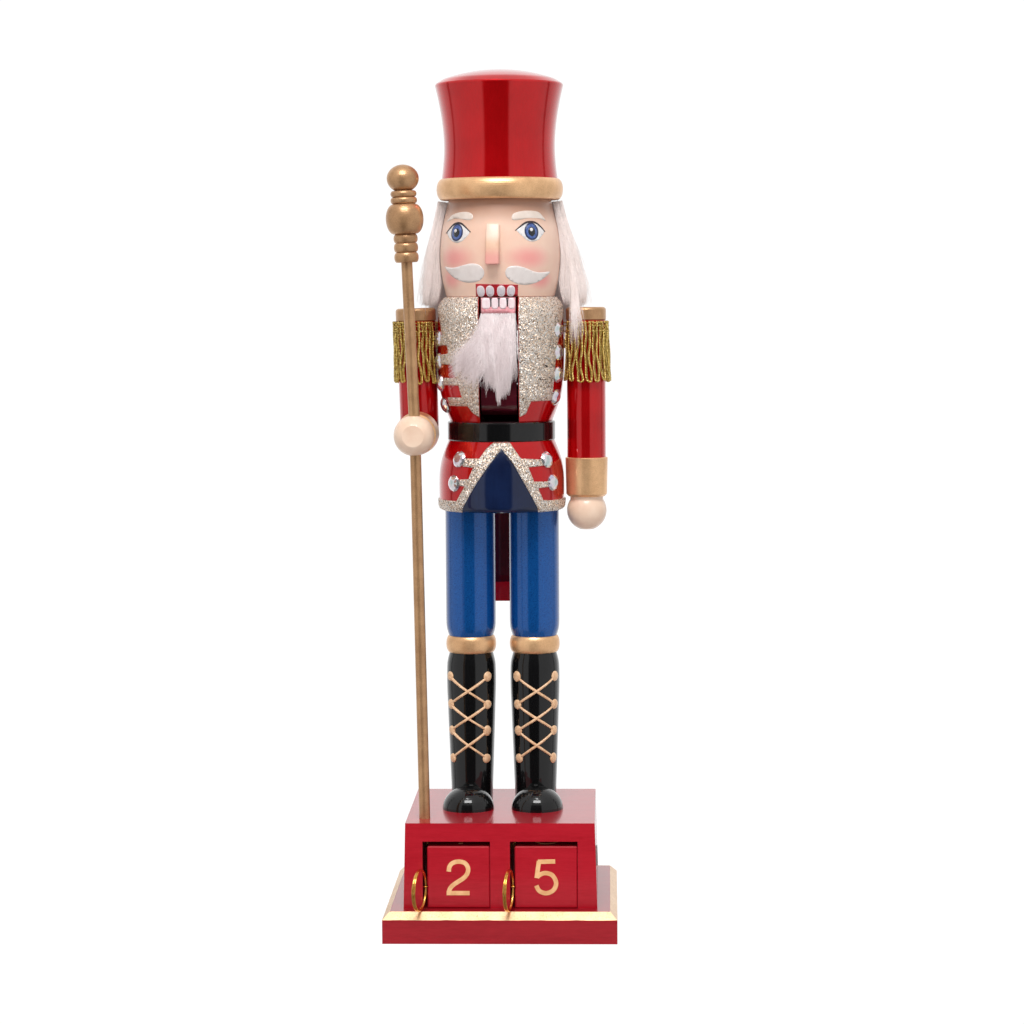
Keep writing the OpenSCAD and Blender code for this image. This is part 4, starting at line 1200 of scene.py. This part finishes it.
def fringe(side):
    """Bullion fringe: long loops of twisted cord stitched round the sleeve by three threads."""
    lo, hi = (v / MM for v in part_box(side + "_fringe"))
    cap_lo, cap_hi = (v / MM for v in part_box(side + "_shoulder_cap"))
    cap = (cap_lo + cap_hi) / 2
    lean = math.tan(math.radians(1.5)) if side == "left" else 0.0
    count, leg, turn_steps = 18, 62, 9
    gen = np.random.default_rng(31 if side == "left" else 37)
    clear = 28.7
    ply, offset = 0.33, 0.36
    top = hi.z - 0.25
    full = top - lo.z

    def place(a, down, swell=0.0):
        t = down / full
        r = (9.75 + 0.35 * t if side == "left" else 9.55 + 1.15 * t ** 1.2) + swell
        z = top - down
        return np.stack([cap.x + (cap.z - z) * lean + r * np.sin(a), cap.y - r * np.cos(a), z], -1)

    paths = []
    half_pitch = math.pi / (2 * count)
    for k in range(count):
        a0 = 2 * math.pi * (k + 0.25) / count
        length = full * gen.uniform(0.955, 1.0) - 0.7
        bow = length + 0.7 * np.sin(np.linspace(0, math.pi, turn_steps))
        down = np.concatenate([np.linspace(0, length, leg), bow, np.linspace(length, 0, leg)])
        side_step = np.concatenate([np.full(leg, -1.0), np.linspace(-1, 1, turn_steps), np.full(leg, 1.0)])
        share = down / full
        drift = 0.06 * np.sin(2.1 * math.sin(a0) + 1.1 * math.cos(2 * a0) + 6.8 * share) * share ** 0.8
        drift += 0.02 * np.sin(side_step * 2 + 15 * share + k)
        a = a0 + drift + side_step * half_pitch * (0.94 + 0.1 * np.sin(9 * share + k))
        centre = place(a, down, 0.18 * np.sin(k * 2.4 + 9 * share))
        if np.hypot(centre[:, 0], centre[:, 1] - AXIS_Y).min() < clear:
            continue
        spin = np.cumsum(np.r_[0, np.linalg.norm(np.diff(centre, axis=0), axis=1)]) * 2 * math.pi / 2.3
        outward = np.stack([np.sin(a), -np.cos(a), np.zeros(len(a))], -1)
        across = np.stack([np.cos(a), np.sin(a), np.zeros(len(a))], -1)
        for half in (0, math.pi):
            paths.append(centre + offset * (outward * np.cos(spin + half)[:, None]
                                            + across * np.sin(spin + half)[:, None]))
    cords = tubes(side + "_fringe_cords", paths, np.full((len(paths), len(paths[0])), ply), sides=6)
    piece = new_piece(side + "_fringe_cords", cords, "bullion", "figure")
    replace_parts(piece, side + "_fringe")
    stitches = []
    for down in (0.5, 1.9, 4.3):
        a = np.linspace(0, 2 * math.pi, 361)
        ring = place(a, down + 0.12 * np.sin(21 * a), 0.52 + 0.1 * np.cos(42 * a))
        outside = np.hypot(ring[:, 0], ring[:, 1] - AXIS_Y) > clear - 0.3
        first = int(np.argmin(outside))
        ring = np.roll(ring[:-1], -first, axis=0)
        outside = np.roll(outside[:-1], -first)
        ring = ring[outside]
        pick = np.linspace(0, len(ring) - 1, 220).astype(int)
        stitches.append(ring[pick])
    threads = tubes(side + "_fringe_stitches", stitches, np.full((3, 220), 0.2), sides=6)
    new_piece(side + "_fringe_stitches", threads, "bullion", "figure")


def bullion_material():
    s = Shader("bullion", rough=0.24, metal=0.88)
    thread = s.noise(2600, 3, 0.6)
    s.set("Base Color", s.ramp(thread, [(0.38, (70, 40, 4)), (0.47, (196, 146, 42)),
                                        (0.58, (255, 236, 150))]))
    s.set("Roughness", s.spread(thread, 0.22, 0.45))
    s.bump(s.noise(6000, 2), 0.3, 0.03)


bullion_material()
fringe("left")
fringe("right")


# ---------------------------------------------------------------- studio

def area_light(name, place, wide, tall, power):
    """Rectangular lamp aimed at the figure's middle. Places and sizes are in metres, power is in watts."""
    data = bpy.data.lights.new(name, "AREA")
    data.shape = "RECTANGLE"
    data.size, data.size_y = wide, tall
    data.energy = power
    obj = bpy.data.objects.new(name, data)
    bpy.context.scene.collection.objects.link(obj)
    obj.location = place
    obj.rotation_mode = "QUATERNION"
    obj.rotation_quaternion = (Vector((0, 0, 0.2)) - Vector(place)).to_track_quat("-Z", "Y")
    return obj


def studio_world():
    """White walls at the sides and behind, a softer roof, and a dark gap round the camera."""
    world = bpy.data.worlds.new("studio")
    bpy.context.scene.world = world
    world.use_nodes = True
    n = Nodes(world.node_tree)

    def blend(share, a, b):
        kept = n.math("MULTIPLY", a, n.math("SUBTRACT", 1.0, share))
        return n.math("ADD", kept, n.math("MULTIPLY", b, share))

    direction = n.add("ShaderNodeTexCoord").outputs["Generated"]
    x, y, z = n.add("ShaderNodeSeparateXYZ", Vector=direction).outputs
    azimuth = n.math("MULTIPLY", n.math("ARCTAN2", x, n.math("MULTIPLY", y, -1.0)), math.degrees(1))
    round_the_back = n.math("ABSOLUTE", azimuth)
    wall = n.between(round_the_back, 100, 150, 0.62, 1.0)
    gap = n.between(n.math("ABSOLUTE", n.math("SUBTRACT", azimuth, -4.0)), 22, 28, 0.06, 1.0)
    seam = n.between(n.math("ABSOLUTE", n.math("SUBTRACT", round_the_back, 105)), 1.5, 4, 0.3, 1.0)
    light = n.math("MULTIPLY", n.math("MULTIPLY", wall, gap), seam)
    light = blend(n.between(z, 0.55, 0.8), light, 0.7)
    light = blend(n.add("ShaderNodeLightPath").outputs["Is Camera Ray"], light, 1.05)
    background = n.tree.nodes["Background"]
    n.link(light, background.inputs["Strength"])
    background.inputs["Color"].default_value = (1, 1, 1, 1)


def studio():
    """Small white floor, white surroundings, a softbox above and a weak fill from the front."""
    half_m = 0.16
    corners = [(x * half_m, y * half_m, 0) for x, y in ((-1, -1), (1, -1), (1, 1), (-1, 1))]
    mesh = mesh_from("floor", corners, [(0, 1, 2, 3)])
    floor = bpy.data.objects.new("floor", mesh)
    bpy.context.scene.collection.objects.link(floor)
    s = Shader("floor_white", rough=0.9)
    glow = s.add("ShaderNodeEmission", Strength=1.1)
    path = s.add("ShaderNodeLightPath")
    share = s.add("ShaderNodeMixShader", Fac=s.math("MULTIPLY", path.outputs["Is Camera Ray"], 0.85))
    s.link(s.bsdf.outputs["BSDF"], share.inputs[1])
    s.link(glow.outputs["Emission"], share.inputs[2])
    s.set("Base Color", s.mix(path.outputs["Is Glossy Ray"], (250, 250, 250), (120, 120, 120)))
    s.link(share.outputs["Shader"], s.tree.nodes["Material Output"].inputs["Surface"])
    give(floor, MAT["floor_white"])
    studio_world()
    area_light("top_softbox", (0.0, -0.75, 1.25), 0.7, 0.5, 12)
    fill = area_light("front_fill", (-0.1, -1.3, 0.45), 0.9, 0.9, 4.5)
    fill.visible_glossy = False


def camera():
    """The view of someone a little to the right of the figure, looking slightly down."""
    place = Vector((47.8, -1186.4, 276.4)) * MM
    yaw, pitch, roll = math.radians(-2.08), math.radians(4.55), math.radians(-0.39)
    ahead = Vector((math.sin(yaw) * math.cos(pitch), math.cos(yaw) * math.cos(pitch), -math.sin(pitch)))
    right = Vector((math.cos(yaw), -math.sin(yaw), 0))
    up = right.cross(ahead)
    tilted = right * math.cos(roll) + up * math.sin(roll)
    data = bpy.data.cameras.new("camera")
    data.sensor_width = 36
    data.lens = 94.68
    data.clip_start, data.clip_end = 0.05, 30
    obj = bpy.data.objects.new("camera", data)
    bpy.context.scene.collection.objects.link(obj)
    columns = (tilted, tilted.cross(ahead), -ahead)
    turn = Matrix([[c[i] for c in columns] for i in range(3)]).to_4x4()
    obj.matrix_world = Matrix.Translation(place) @ turn
    bpy.context.scene.camera = obj


studio()
camera()
bpy.context.scene.view_settings.view_transform = "Standard"
